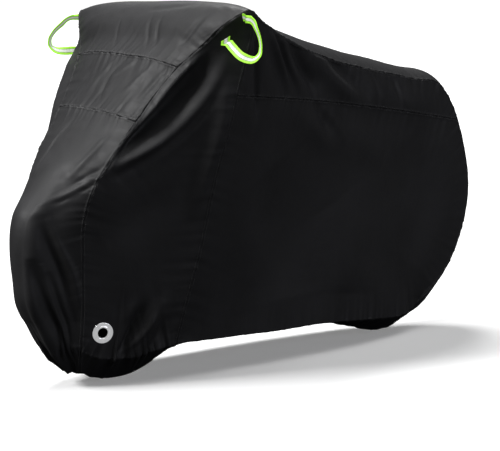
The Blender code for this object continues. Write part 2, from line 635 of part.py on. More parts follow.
def main():
    for piece in list(bpy.data.objects):
        bpy.data.objects.remove(piece)
    cover = bpy.data.collections.new("bicycle_cover")
    cutters = bpy.data.collections.new("cutters")
    for collection in (cover, cutters):
        bpy.context.scene.collection.children.link(collection)

    colours = {
        "front_wheel_panel": (0.030, 0.030, 0.032),
        "front_mid_panel": (0.036, 0.036, 0.038),
        "bar_hood_panel": (0.028, 0.028, 0.030),
        "back_strip_panel": (0.034, 0.034, 0.036),
        "side_front": (0.022, 0.022, 0.024),
        "side_strip": (0.026, 0.026, 0.028),
        "side_yoke": (0.020, 0.020, 0.022),
        "side_rear": (0.024, 0.024, 0.026),
    }
    # Each gore panel's first and last station, its cells across, and which of its rows are hem.
    gore = {
        "front_wheel_panel": (0, CORNER["lower to upper seam"], 20, FIRST_ROWS),
        "front_mid_panel": (CORNER["lower to upper seam"], CORNER["upper seam to bar"], 14, NO_ROWS),
        "bar_hood_panel": (CORNER["upper seam to bar"], CORNER["hood back to tail"], 18, NO_ROWS),
        "back_strip_panel": (CORNER["hood back to tail"], len(STATIONS[-1]) - 1, 8, LAST_ROWS),
    }
    for name, (first, last, cells, hem_rows) in gore.items():
        grid = pulled_in(gore_panel(first, last, cells), hem_rows)
        centre = Vector(grid[grid.shape[0] // 2, grid.shape[1] // 2])
        if name == "bar_hood_panel":
            crest = grid[:, grid.shape[1] // 2]
            top = crest[crest[:, 2].argmax()]
        cloth = finish(name + "_cloth", colours[name], 0.55)
        cloth_panel(name, grid, centre + (centre - Vector(INSIDE)), cloth, cover)

    metal = finish("eyelet_metal", (0.75, 0.75, 0.76), 0.22, 1.0)
    green = finish("green_webbing", (0.36, 0.80, 0.04), 0.6)
    loops = {-1: ("loop_left", LEFT_LOOP), 1: ("loop_right", RIGHT_LOOP)}
    for hand, tag in ((-1, "_left"), (1, "_right")):
        side = Side(hand)
        panels = {}
        for name, grid in side.grids().items():
            grid = pulled_in(grid, FIRST_ROWS if name in ("side_strip", "side_rear") else NO_ROWS)
            cloth = finish(name + tag + "_cloth", colours[name], 0.55)
            far_out = (INSIDE[0], hand * FAR_SIDE, INSIDE[2])
            panels[name] = cloth_panel(name + tag, grid, far_out, cloth, cover)
        hole = panels["side_strip"].modifiers.new("Eyelet hole", "BOOLEAN")
        hole.object = eyelet_hole(side, "eyelet_hole" + tag, cutters)
        hole.operation = "DIFFERENCE"
        hole.solver = "EXACT"
        eyelet("eyelet" + tag, side, metal, cover)
        bpy.context.view_layer.update()
        depsgraph = bpy.context.evaluated_depsgraph_get()
        under = [BVHTree.FromObject(panels[name], depsgraph) for name in ("side_front", "side_yoke")]
        webbing_loop(*loops[hand], under, green, cover)

    # The highest point of the hood's inner face becomes the origin.
    for piece in list(cover.objects) + list(cutters.objects):
        piece.location -= Vector(top)
    bpy.context.view_layer.update()


main()
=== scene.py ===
# %% [markdown]
# # A fitted bicycle cover
#
# The real object is a loose hood of thin coated polyester, pulled over a whole bicycle. It has no shape of
# its own: the handlebar, the saddle and the wheels push it out from inside, and between them it hangs. A
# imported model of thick, plain panels is loaded first, which says where every seam runs. This notebook then
# sews the cover again, out of thin sheets with their folds, puckers, gathers, stitches and finishes.

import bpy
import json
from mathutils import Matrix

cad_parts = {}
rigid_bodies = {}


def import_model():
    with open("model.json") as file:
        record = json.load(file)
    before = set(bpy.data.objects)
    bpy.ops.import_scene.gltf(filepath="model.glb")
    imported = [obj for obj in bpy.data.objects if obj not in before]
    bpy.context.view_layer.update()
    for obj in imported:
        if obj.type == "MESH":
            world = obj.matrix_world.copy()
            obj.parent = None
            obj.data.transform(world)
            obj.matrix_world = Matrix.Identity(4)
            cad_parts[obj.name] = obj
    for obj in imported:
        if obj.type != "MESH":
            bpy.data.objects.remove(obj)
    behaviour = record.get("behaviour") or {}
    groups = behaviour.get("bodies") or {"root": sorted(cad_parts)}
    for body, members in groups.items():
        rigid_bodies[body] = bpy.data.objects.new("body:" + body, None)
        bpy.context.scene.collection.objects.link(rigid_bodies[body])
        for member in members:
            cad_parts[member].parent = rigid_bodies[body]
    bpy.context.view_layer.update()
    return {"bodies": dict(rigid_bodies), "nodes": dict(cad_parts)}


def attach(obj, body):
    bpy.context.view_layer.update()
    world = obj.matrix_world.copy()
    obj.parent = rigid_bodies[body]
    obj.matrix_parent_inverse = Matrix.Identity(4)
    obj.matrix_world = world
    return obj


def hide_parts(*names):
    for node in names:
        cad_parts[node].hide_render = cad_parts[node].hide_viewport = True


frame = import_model()
print("packed panels:", ", ".join(sorted(frame["nodes"])))

# %% [markdown]
# Blender's start-up file may hold a cube, a lamp and a camera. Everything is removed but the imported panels
# and the bodies that they ride on.

# %% A clean table to work on
import json
import math
from collections import namedtuple

import bpy
import numpy as np
from mathutils import Matrix, Vector
from mathutils.bvhtree import BVHTree

TINY = 1e-12             # keeps a division by no length at all from failing
scene = bpy.context.scene
kept = set(frame["nodes"].values()) | set(frame["bodies"].values())
for thing in list(bpy.data.objects):
    if thing not in kept:
        bpy.data.objects.remove(thing)


def new_object(name, data):
    thing = bpy.data.objects.new(name, data)
    scene.collection.objects.link(thing)
    return thing


# %% [markdown]
# ## The pattern
#
# A maker of covers works from a pattern: the lines along which the panels meet. One long centre strip, the
# gore, runs from under the front wheel over the bar and the saddle to under the rear wheel, and two sides
# hang from its edges. Such lines could be drawn as curve objects and joined by hand. Here they are short
# tables, one row for each place where the line changes its way, because the same row then serves the left
# and the right side, and every panel that meets there.
#
# In the tables x runs from the bar to the rear, z is the height above the floor and "half" is half of the
# cover's width, all in metres.

# %% The gore's edge seam
Seam = namedtuple("Seam", "place x z half rise square")
SEAM = [Seam(*row) for row in (
    ("front hem edge", -0.345, 0.045, 0.045, 0.012, 2.0),
    ("front hem", -0.366, 0.113, 0.081, 0.06, 2.0),
    ("low on the wheel", -0.37, 0.212, 0.097, 0.127, 2.0),
    ("front of the wheel", -0.38, 0.367, 0.113, 0.152, 2.0),
    ("high on the wheel", -0.385, 0.49, 0.131, 0.128, 2.0),
    ("above the wheel", -0.368, 0.576, 0.155, 0.066, 2.0),
    ("fork", -0.322, 0.655, 0.172, 0.042, 2.2),
    ("lower cross seam", -0.247, 0.752, 0.187, 0.03, 2.4),
    ("upper cross seam", -0.136, 0.901, 0.235, 0.03, 2.8),
    ("under the bar", -0.085, 0.962, 0.282, 0.03, 3.4),
    ("front of the bar", -0.048, 1.023, 0.341, 0.03, 4.2),
    ("bar end", -0.01, 1.054, 0.382, 0.028, 5.0),
    ("behind the bar", 0.053, 1.034, 0.365, 0.036, 5.0),
    ("hood", 0.115, 1.014, 0.33, 0.044, 3.2),
    ("hood back", 0.219, 0.982, 0.28, 0.054, 2.6),
    ("top tube", 0.335, 0.953, 0.23, 0.06, 2.2),
    ("saddle nose", 0.461, 0.924, 0.18, 0.06, 2.0),
    ("saddle", 0.623, 0.892, 0.13, 0.053, 2.0),
    ("behind the saddle", 0.792, 0.866, 0.1, 0.048, 2.0),
    ("tail", 0.991, 0.835, 0.085, 0.038, 2.0),
    ("tail corner", 1.109, 0.816, 0.08, 0.036, 2.0),
    ("under the tail", 1.185, 0.736, 0.08, 0.044, 2.0),
    ("yoke end", 1.222, 0.647, 0.08, 0.058, 2.0),
    ("rear of the wheel", 1.261, 0.489, 0.08, 0.066, 2.0),
    ("low on the rear", 1.244, 0.344, 0.08, 0.06, 2.0),
    ("rear foot", 1.166, 0.204, 0.08, 0.048, 2.0),
    ("rear hem", 1.03, 0.098, 0.075, 0.055, 2.0),
    ("rear hem edge", 0.985, 0.046, 0.045, 0.026, 2.0),
)]

# %% [markdown]
# The hem is where a side turns under. Its edge is drawn in by an elastic and lies further in and lower, so
# each row has two points: the turn and the edge.

# %% The hem of a side
Hem = namedtuple("Hem", "place x z half edge_x edge_z edge_half")
HEM = [Hem(*row) for row in (
    ("front corner", -0.366, 0.113, 0.081, -0.345, 0.045, 0.045),
    ("before the eyelet", -0.328, 0.092, 0.1, -0.296, 0.021, 0.038),
    ("under the eyelet", -0.286, 0.083, 0.112, -0.237, 0.01, 0.036),
    ("front foot", -0.24, 0.081, 0.127, -0.194, 0.009, 0.036),
    ("behind the foot", -0.19, 0.089, 0.147, -0.145, 0.016, 0.037),
    ("rise", -0.145, 0.101, 0.163, -0.1, 0.034, 0.045),
    ("long seam", -0.099, 0.11, 0.175, -0.08, 0.08, 0.1),
    ("crank", 0.0, 0.11, 0.18, 0.002, 0.107, 0.15),
    ("pedals", 0.165, 0.106, 0.184, 0.165, 0.104, 0.162),
    ("chain", 0.33, 0.102, 0.185, 0.33, 0.1, 0.163),
    ("stay", 0.5, 0.1, 0.177, 0.505, 0.095, 0.15),
    ("before the rear wheel", 0.66, 0.087, 0.16, 0.68, 0.06, 0.092),
    ("rear wheel", 0.78, 0.076, 0.142, 0.79, 0.028, 0.045),
    ("rear foot", 0.87, 0.069, 0.125, 0.87, 0.014, 0.037),
    ("behind the rear foot", 0.955, 0.073, 0.101, 0.94, 0.022, 0.04),
    ("rear corner", 1.03, 0.098, 0.075, 0.985, 0.046, 0.045),
)]

# %% [markdown]
# Two more seams divide a side. The long seam climbs from the hem to the bar end and stands out from the
# side. The yoke seam runs from it back to the gore, and lies in the side, so that its rows need no width.

# %% The long seam and the yoke seam
Ridge = namedtuple("Ridge", "place x z half")
LONG_SEAM = [Ridge(*row) for row in (
    ("hem", -0.099, 0.11, 0.175),
    ("strip top", -0.085, 0.225, 0.203),
    ("low", -0.058, 0.382, 0.236),
    ("middle", -0.036, 0.58, 0.279),
    ("yoke", -0.003, 0.822, 0.331),
    ("high", 0.016, 0.945, 0.357),
    ("under the bar end", 0.02, 1.0, 0.368),
    ("bar end", -0.01, 1.054, 0.382),
)]
Line = namedtuple("Line", "place x z")
YOKE_SEAM = [Line(*row) for row in (
    ("long seam", -0.003, 0.822),
    ("front", 0.149, 0.811),
    ("middle", 0.497, 0.782),
    ("back", 0.93, 0.732),
    ("gore", 1.203, 0.694),
)]
YOKE_DROP = 0.050        # from the yoke seam down the gore's edge to the row "yoke end"
RIGHT_CLIMB = 0.030      # the cross seams' right ends lie this much further up the gore than their left

# %% [markdown]
# A table row is only a point. Between the points the cloth runs in one smooth line, so each table is read
# through a Hermite curve: a cubic piece between each pair of rows that keeps the slope at both. A Bezier
# curve object would do too, but a function can be asked for any number of points, graded as a panel needs.

# %% Smooth lines through the tables
def lengths_along(line):
    """The length along a line of points, up to each of them."""
    return np.concatenate([[0.0], np.cumsum(np.linalg.norm(np.diff(line, axis=0), axis=1))])


class Curve:
    """The rows of a table as one smooth curve, read by the length along its chords."""

    def __init__(self, table):
        self.points = np.array([row[1:] for row in table])
        self.length = lengths_along(self.points[:, :2])
        self.slopes = np.gradient(self.points, self.length, axis=0)
        self.where = {row.place: length for row, length in zip(table, self.length)}

    def at(self, along):
        along = np.clip(np.atleast_1d(along), 0.0, self.length[-1])
        i = np.clip(np.searchsorted(self.length, along, side="right") - 1, 0, len(self.length) - 2)
        span = (self.length[i + 1] - self.length[i])[:, None]
        t = (along - self.length[i])[:, None] / span
        start = self.points[i] * (2 * t**3 - 3 * t**2 + 1) + self.slopes[i] * span * (t**3 - 2 * t**2 + t)
        end = self.points[i + 1] * (3 * t**2 - 2 * t**3) + self.slopes[i + 1] * span * (t**3 - t**2)
        return start + end


gore_edge, side_hem, long_seam, yoke_seam = (Curve(table) for table in (SEAM, HEM, LONG_SEAM, YOKE_SEAM))
print("the gore's edge seam is %.2f m long" % gore_edge.length[-1])

# %% [markdown]
# ## How fine the cloth is
#
# Puckers stand close to the seams, and the middle of a panel is calm. Even cells would be wasted there, and
# too wide at the seams. So each stretch of a seam is cut into cells that are two millimetres long next to a
# seam and grow with the distance from it. The counts are shared: where two panels meet, both have the same
# points, and the joint can't open.

# %% Cells along the seams
FINE = 0.0018            # a cell beside a seam
GROW = 0.14              # how fast the cells grow away from it
COARSE = 0.0060          # the largest cell
MARKS = 2001             # steps in which a stretch is measured to share it out
Stretch = namedtuple("Stretch", "place cells end climbs drop")
STRETCHES = [Stretch(*row) for row in (
    ("front hem", 8, "front hem", 0, 0.0),
    ("beside the wheel", 130, "above the wheel", 0, 0.0),
    ("wheel to lower seam", 46, "lower cross seam", 1, 0.0),
    ("lower to upper seam", 44, "upper cross seam", 1, 0.0),
    ("upper seam to bar", 44, "bar end", 0, 0.0),
    ("bar to hood back", 46, "hood back", 0, 0.0),
    ("hood back to tail", 150, "tail corner", 0, 0.0),
    ("tail to yoke", 34, "yoke end", 0, YOKE_DROP),
    ("yoke to rear hem", 96, "rear hem", 0, 0.0),
    ("rear hem", 8, "rear hem edge", 0, 0.0),
)]
CELLS = {stretch.place: stretch.cells for stretch in STRETCHES}
CORNER = dict(zip([*CELLS, "end"], np.concatenate([[0], np.cumsum(list(CELLS.values()))])))
assert CELLS["beside the wheel"] == CELLS["tail to yoke"] + CELLS["yoke to rear hem"]


def graded(length, cells):
    """Fractions from 0 to 1 in so many cells, close together at both ends."""
    d = np.linspace(0.0, length, MARKS)
    density = 1 / np.clip(FINE + GROW * np.minimum(d, length - d), FINE, COARSE)
    count = np.concatenate([[0.0], np.cumsum((density[1:] + density[:-1]) / 2 * np.diff(d))])
    return np.interp(np.linspace(0.0, count[-1], cells + 1), count, d / length)


def stations(lead):
    """Lengths along the gore's edge at which its cells end. "lead" moves the cross seams up."""
    start, where = 0.0, [np.zeros(1)]
    for stretch in STRETCHES:
        end = gore_edge.where[stretch.end] + stretch.climbs * lead - stretch.drop
        where.append((start + (end - start) * graded(end - start, stretch.cells))[1:])
        start = end
    return np.concatenate(where)


STATIONS = {-1: stations(0.0), 1: stations(RIGHT_CLIMB)}
print("stations along the gore:", len(STATIONS[-1]))

# %% [markdown]
# ## Helpers for soft shapes
#
# A fold is a soft ridge or trough that runs along a bent line and dies out at both ends. It could be
# sculpted with a brush, but then it couldn't be moved again. Here each fold is one row of a table: three
# points of its line, its half width and its height.

# %% Folds along bent lines
AT_ONCE = 1500000        # pairs of a point and a step of the line that are worked out in one go
LINE_STEPS = 12          # steps in a fold's line
BLUNT = 0.03             # a fold starts this share of the way up its taper
TAPER = 0.65             # under 1, a fold keeps its height for longer towards its ends


def ease(t):
    """0 below 0, 1 above 1, and a smooth step between them."""
    t = np.clip(t, 0.0, 1.0)
    return t * t * (3 - 2 * t)


def distance_to(line, points):
    """Distance from points to a line of points, and the length along the line at which it is nearest."""
    start, step, before = line[:-1], np.diff(line, axis=0), lengths_along(line)
    lengths = np.linalg.norm(step, axis=1)
    flat = points.reshape(-1, points.shape[-1])
    gaps, alongs = [], []
    for part in np.array_split(flat, max(1, len(flat) * len(step) // AT_ONCE)):
        to_point = part[:, None, :] - start
        t = np.clip((to_point * step).sum(-1) / np.maximum((step * step).sum(-1), TINY), 0.0, 1.0)
        gap = np.linalg.norm(to_point - t[..., None] * step, axis=-1)
        nearest = gap.argmin(-1)
        rows = np.arange(len(part))
        gaps.append(gap[rows, nearest])
        alongs.append(before[nearest] + t[rows, nearest] * lengths[nearest])
    return tuple(np.concatenate(parts).reshape(points.shape[:-1]) for parts in (gaps, alongs))


def fold_height(fold, height, points):
    """How far one fold moves the cloth out at points, which are in the fold's own two coordinates."""
    t = np.linspace(0.0, 1.0, LINE_STEPS + 1)[:, None]
    start, mid, end = (np.array(point) for point in (fold.start, fold.mid, fold.end))
    line = (1 - t) ** 2 * start + 2 * t * (1 - t) * (2 * mid - (start + end) / 2) + t**2 * end
    gap, along = distance_to(line, points)
    share = BLUNT + (1 - 2 * BLUNT) * (along / lengths_along(line)[-1])
    return height * np.exp(-((gap / fold.width) ** 2)) * np.sin(np.pi * np.clip(share, 0.0, 1.0)) ** TAPER


# %% [markdown]
# Cloth is never even. Slow swells are made of a few sine waves that cross each other, and a row of puckers
# or gathers is a wave that drifts, so that no two are alike. A noise texture would do as well, but it can't
# be asked for a wave of a given length along a seam. Each call has its own seed, so that the same script
# always sews the same cover.

# %% Swells and ripples
def swells(points, wave, stretch, seed):
    """Slow, uneven swells between about -1 and 1, in waves of such a length."""
    own = np.random.default_rng(seed)
    total = np.zeros(points.shape[:-1])
    for turn in own.uniform(0.0, math.tau, 7):
        way = np.array([math.cos(turn), math.sin(turn) / stretch])
        length = wave * own.uniform(0.7, 1.6)
        total += np.sin(points @ way * math.tau / length + own.uniform(0.0, math.tau))
    return total / 4


def ripple(along, wave, seed):
    """An uneven wave along a line, between -1 and 1."""
    own = np.random.default_rng(seed)
    drift = 0.0
    for _ in range(3):
        size = own.uniform(0.3, 0.9)
        length = wave * own.uniform(2.2, 6.0)
        drift += size * np.sin(along * math.tau / length + own.uniform(0.0, math.tau))
    size = 0.62 + 0.38 * np.sin(along * math.tau / (wave * 3.7) + own.uniform(0.0, math.tau))
    return size * np.sin(along * math.tau / wave + 1.3 * drift)


# %% [markdown]
# ## The gore
#
# Across the gore the cloth crowns over the bar, the saddle and the tyres. A loft between cross sections
# would give that, and so does one formula: the middle stands proud of the two seams by "rise", and "square"
# says how flat the crown is. Over the bar it is nearly flat, with a shoulder at each end.
#
# Round the front wheel the elastic draws the cloth into long gathers. Each is a row that says where it lies
# "across" the gore, from -1 at the left seam to 1 at the right, and up to which height. On the left the
# cloth also hangs in a hollow flank beside the tyre's tread.

# %% Gathers and the hollow flank
Gather = namedtuple("Gather", "place across top height width")
GATHERS = [Gather(*row) for row in (
    ("right edge", 0.72, 0.3, 0.006, 0.11),
    ("right trough", 0.48, 0.34, -0.007, 0.1),
    ("right ridge", 0.26, 0.33, 0.006, 0.1),
    ("middle trough", 0.02, 0.3, -0.005, 0.11),
    ("tyre's edge", -0.42, 0.6, 0.015, 0.13),
    ("left flank", -0.66, 0.64, -0.01, 0.2),
    ("left edge", -0.86, 0.33, 0.004, 0.09),
)]
GATHER_FADE = 0.22       # height over which a gather fades out
FRONT_ONLY = -0.15       # the gathers lie before this x
TYRE_EDGE = 0.040        # half the width of the tyre's tread
FLANK_HOLLOW = 0.005     # the hollow's depth
FLANK_SHAPE = 2.1        # brings the formula of its section to a depth of 1
FLANK_TOP = 0.452        # length along the seam at which the hollow starts beside the tyre
FLANK_CLIMB = 0.62       # how much later it starts for each metre away from the tyre
FLANK_RIM = 0.024        # length over which the rim falls away
FLANK_FOOT = 0.075       # length along the seam at which it ends above the hem
FLANK_FADE = 0.080       # length over which it fades there


def flank_hollow(where, y, half):
    t = np.clip((-y - TYRE_EDGE) / (half - TYRE_EDGE), 0.0, 1.0)
    start = FLANK_TOP + FLANK_CLIMB * np.maximum(-y - TYRE_EDGE, 0.0)
    low = ease((start - where) / FLANK_RIM) * ease((where - FLANK_FOOT) / FLANK_FADE)
    return -FLANK_HOLLOW * FLANK_SHAPE * (1 - (1 - t) ** 3) * (1 - t) * low


# %% [markdown]
# The crown, the gathers and the flank are added up and laid off square to the seam's own direction, which is
# measured over a short step to either side.

# %% The gore's surface
DIRECTION_STEP = 0.004


def gore_surface(where, across):
    """Points of the gore at a length along its seam, and "across" it."""
    places, q = where.ravel(), across.ravel()
    row = gore_edge.at(places)
    ahead = gore_edge.at(places + DIRECTION_STEP)[:, :2] - gore_edge.at(places - DIRECTION_STEP)[:, :2]
    ahead /= np.linalg.norm(ahead, axis=1)[:, None]
    out = np.stack([-ahead[:, 1], ahead[:, 0]], axis=1)
    crown = row[:, 3] * (1 - np.abs(q) ** row[:, 4])
    for gather in GATHERS:
        low = ease((gather.top - row[:, 1]) / GATHER_FADE) * (row[:, 0] < FRONT_ONLY)
        spread = np.exp(-((q - gather.across) / gather.width) ** 2)
        crown += gather.height * low * spread * (1 - q**4)
    crown += flank_hollow(places, q * row[:, 2], row[:, 2])
    flat = row[:, :2] + out * crown[:, None]
    return np.stack([flat[:, 0], q * row[:, 2], flat[:, 1]], axis=1).reshape(where.shape + (3,))


def gore_grid(first, last, cells_across):
    """The gore between two of its stations, with close columns beside both edge seams, and its flat map."""
    left, right = (STATIONS[hand][first:last + 1] for hand in (-1, 1))
    row = gore_edge.at((left + right) / 2)
    slant = np.hypot(row[:, 2], row[:, 3] * row[:, 4])
    across = np.stack([2 * graded(2 * reach, cells_across) - 1 for reach in slant])
    where = left[:, None] + (right - left)[:, None] * (across + 1) / 2
    sideways = across * gore_edge.at(where.ravel())[:, 2].reshape(where.shape)
    return gore_surface(where, across), np.stack([where, sideways], -1)


top = gore_surface(np.array([[gore_edge.where["bar end"]]]), np.zeros((1, 1)))[0, 0]
print("the hood's crest in the tables' sizes:", np.round(top, 4))

# %% [markdown]
# ## The sides
#
# A side hangs like a film: it is held at its edges and spans what lies between them. Blender's cloth could
# drape it over a whole bicycle, but that bicycle isn't here, and the result would move each time a number
# changed. Mean-value weights give the same calm film at once: every point takes the edge's widths, each
# weighted by how large that bit of the edge looks from there. The folds are then added.

# %% The film between the edges
FILM_AT_ONCE = 1200      # points of the film that are worked out in one go
ON_EDGE = 1e-6           # nearer than this, a point is on the edge


def film(outline, points):
    """Heights over points inside an outline, stretched over the outline's own heights like a film."""
    flat, heights = outline[:, :2], outline[:, 2]
    result = []
    places = points.reshape(-1, 2)
    for part in np.array_split(places, max(1, len(places) // FILM_AT_ONCE)):
        here = flat[None] - part[:, None]
        there = np.roll(here, -1, axis=1)
        reach = np.linalg.norm(here, axis=2)
        cross = here[..., 0] * there[..., 1] - here[..., 1] * there[..., 0]
        dot = (here * there).sum(axis=2)
        half_angle = cross / (reach * np.roll(reach, -1, axis=1) + dot + TINY)
        weight = (half_angle + np.roll(half_angle, 1, axis=1)) / np.maximum(reach, TINY)
        height = (weight * heights).sum(axis=1) / weight.sum(axis=1)
        on_edge = reach.min(axis=1) < ON_EDGE
        height[on_edge] = heights[reach.argmin(axis=1)[on_edge]]
        result.append(height)
    return np.concatenate(result).reshape(points.shape[:-1])


def spaced_like(line):
    """Fractions of the length along a line of points."""
    length = lengths_along(line[:, :2])
    return length / length[-1]


def patch(*edges):
    """A four-sided patch of flat points between its bottom, top, left and right edge, row by row."""
    bottom, top, left, right = (edge[:, :2] for edge in edges)
    u = spaced_like(bottom)[None, :, None]
    v = spaced_like(left)[:, None, None]
    between = (1 - v) * bottom[None] + v * top[None] + (1 - u) * left[:, None] + u * right[:, None]
    corners = (1 - v) * ((1 - u) * bottom[0] + u * bottom[-1]) + v * ((1 - u) * top[0] + u * top[-1])
    return between - corners


# %% [markdown]
# The folds of a side come in two sizes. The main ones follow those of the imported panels: the deep trough
# under the front seam, the ridge below it, the fan that falls from the bar end. "left" and "right" are
# heights, because the two sides don't hang alike.

# %% Main folds of the sides
Fold = namedtuple("Fold", "place start mid end width left right")
SIDE_FOLDS = [Fold(*row) for row in (
    ("trough under the seam", (-0.055, 0.935), (-0.155, 0.793), (-0.325, 0.64), 0.03, -0.036, -0.027),
    ("ridge below it", (-0.03, 0.935), (-0.122, 0.747), (-0.306, 0.626), 0.031, 0.018, 0.007),
    ("second trough", (-0.03, 0.7), (-0.13, 0.56), (-0.33, 0.43), 0.055, -0.01, -0.006),
    ("billow over the right lever", (-0.068, 0.965), (-0.106, 0.87), (-0.28, 0.63), 0.05, 0.0, 0.094),
    ("fan, first trough", (0.05, 0.985), (0.085, 0.88), (0.11, 0.76), 0.022, -0.011, -0.011),
    ("fan, second trough", (0.12, 0.965), (0.2, 0.89), (0.26, 0.8), 0.026, -0.01, -0.007),
    ("fan, third trough", (0.2, 0.955), (0.34, 0.89), (0.48, 0.82), 0.028, -0.009, -0.008),
    ("pull under the yoke", (0.3, 0.79), (0.46, 0.69), (0.64, 0.62), 0.045, 0.011, 0.008),
    ("pull from the saddle", (0.56, 0.76), (0.68, 0.66), (0.8, 0.59), 0.05, 0.01, 0.01),
    ("soft hollow", (0.25, 0.62), (0.33, 0.42), (0.36, 0.2), 0.12, -0.018, -0.018),
    ("soft swell", (0.56, 0.48), (0.6, 0.33), (0.6, 0.18), 0.11, 0.016, 0.013),
    ("hollow by the rear wheel", (0.93, 0.64), (1.0, 0.42), (0.96, 0.23), 0.09, -0.012, -0.011),
    ("gather by the eyelet", (-0.205, 0.235), (-0.232, 0.165), (-0.255, 0.085), 0.016, -0.01, -0.01),
    ("second gather", (-0.15, 0.25), (-0.185, 0.17), (-0.215, 0.088), 0.018, 0.009, 0.009),
    ("third gather", (-0.13, 0.2), (-0.15, 0.15), (-0.18, 0.092), 0.015, -0.008, -0.008),
)]

# %% [markdown]
# The fine folds are only in the thin cloth. They sharpen the crests and the creases of the main ones.

# %% Fine folds of the sides
FINE_FOLDS = [Fold(*row) for row in (
    ("crest of the ridge", (-0.033, 0.945), (-0.132, 0.747), (-0.314, 0.64), 0.013, 0.007, 0.005),
    ("valley below the crest", (-0.033, 0.88), (-0.133, 0.728), (-0.298, 0.614), 0.017, -0.013, -0.007),
    ("root of the ridge", (-0.19, 0.705), (-0.262, 0.662), (-0.33, 0.622), 0.018, 0.018, 0.01),
    ("shoulder of the yoke", (0.42, 0.85), (0.72, 0.8), (1.13, 0.748), 0.055, 0.017, 0.014),
    ("crease by the eyelet", (-0.2, 0.228), (-0.231, 0.158), (-0.264, 0.1), 0.0075, -0.01, -0.01),
    ("ridge beside that crease", (-0.176, 0.198), (-0.208, 0.143), (-0.256, 0.1), 0.008, 0.007, 0.007),
    ("bulge before that crease", (-0.228, 0.245), (-0.25, 0.2), (-0.275, 0.15), 0.014, 0.005, 0.005),
    ("crease from the bar end", (0.04, 0.995), (0.087, 0.877), (0.108, 0.75), 0.008, -0.0109, -0.0097),
    ("first crest of the fan", (0.125, 0.995), (0.209, 0.925), (0.262, 0.83), 0.017, 0.0123, 0.0104),
    ("second crease", (0.16, 0.995), (0.248, 0.905), (0.296, 0.83), 0.011, -0.013, -0.0111),
    ("second crest of the fan", (0.2, 0.982), (0.288, 0.895), (0.345, 0.8), 0.019, 0.0123, 0.0104),
    ("third crease", (0.265, 0.965), (0.384, 0.866), (0.44, 0.785), 0.022, -0.0145, -0.0117),
    ("third crest of the fan", (0.4, 0.94), (0.54, 0.846), (0.66, 0.775), 0.03, 0.0159, 0.013),
    ("fourth crease", (0.52, 0.905), (0.642, 0.84), (0.74, 0.78), 0.022, -0.013, -0.0104),
    ("ridge under the yoke seam", (0.49, 0.775), (0.535, 0.724), (0.59, 0.655), 0.022, 0.0116, 0.0091),
    ("crease under the yoke seam", (0.425, 0.785), (0.465, 0.734), (0.51, 0.67), 0.02, -0.0109, -0.0091),
    ("streak on the yoke", (0.762, 0.852), (0.776, 0.807), (0.784, 0.762), 0.01, -0.0045, -0.0045),
    ("second streak on the yoke", (0.866, 0.846), (0.891, 0.784), (0.92, 0.731), 0.011, -0.005, -0.005),
    ("swell beside the long seam", (-0.028, 0.85), (-0.052, 0.66), (-0.09, 0.5), 0.02, 0.016, 0.008),
)]
print(len(SIDE_FOLDS), "main folds and", len(FINE_FOLDS), "fine ones on each side")

# %% [markdown]
# Beside the gore the cloth is held by the seam, so the folds fade out there. In front, above the wheel, it
# first runs on outward from the seam, and only then rolls over into the deep trough: that is the shoulder.

# %% What moves a side in and out
FOLD_FADE = 0.026        # main folds fade out this near to the gore
FINE_FADE = 0.012        # fine folds run nearly up to it
SWELL = 0.0022           # height of the slow, uneven swells of hanging cloth
SWELL_FADE = 0.10
SHOULDER = 0.022         # how far the shoulder stands out
SHOULDER_OUT = 0.011     # distance from the seam over which it rises
SHOULDER_IN = 0.020      # distance over which it falls again
SHOULDER_FOOT, FOOT_FADE = 0.690, 0.11      # the height at which it starts, and how slowly
SHOULDER_TOP, TOP_FADE = 0.955, 0.07


def shoulder(points, gap):
    high = points[..., 1]
    along = ease((high - SHOULDER_FOOT) / FOOT_FADE) * ease((SHOULDER_TOP - high) / TOP_FADE)
    across = ease(gap / SHOULDER_OUT) * (1 - ease((gap - SHOULDER_OUT) / SHOULDER_IN))
    return SHOULDER * along * across * (points[..., 0] < 0.0)


def side_folds(hand, points, gap):
    """How far a side's folds move it out at points that lie "gap" away from the gore."""
    main, fine = (sum(fold_height(fold, fold.right if hand > 0 else fold.left, points) for fold in table)
                  for table in (SIDE_FOLDS, FINE_FOLDS))
    calm = SWELL * swells(points, 0.16, 2.2, 7 + hand)
    folds = main * ease(gap / FOLD_FADE) + fine * ease(gap / FINE_FADE) + calm * ease(gap / SWELL_FADE)
    return folds + shoulder(points, gap)


# %% [markdown]
# A side is three panels, and each has four edges. They are cut out of the gore's edge, the hem, the long
# seam and the yoke seam. "front" and "rear" are the outlines of the two films that meet at the long seam.

# %% The edges of one side
Side = namedtuple("Side", "hand edge corners front_hem rear_hem long yoke front_top rear_top "
                          "front_left tail_edge rear_edge front rear")


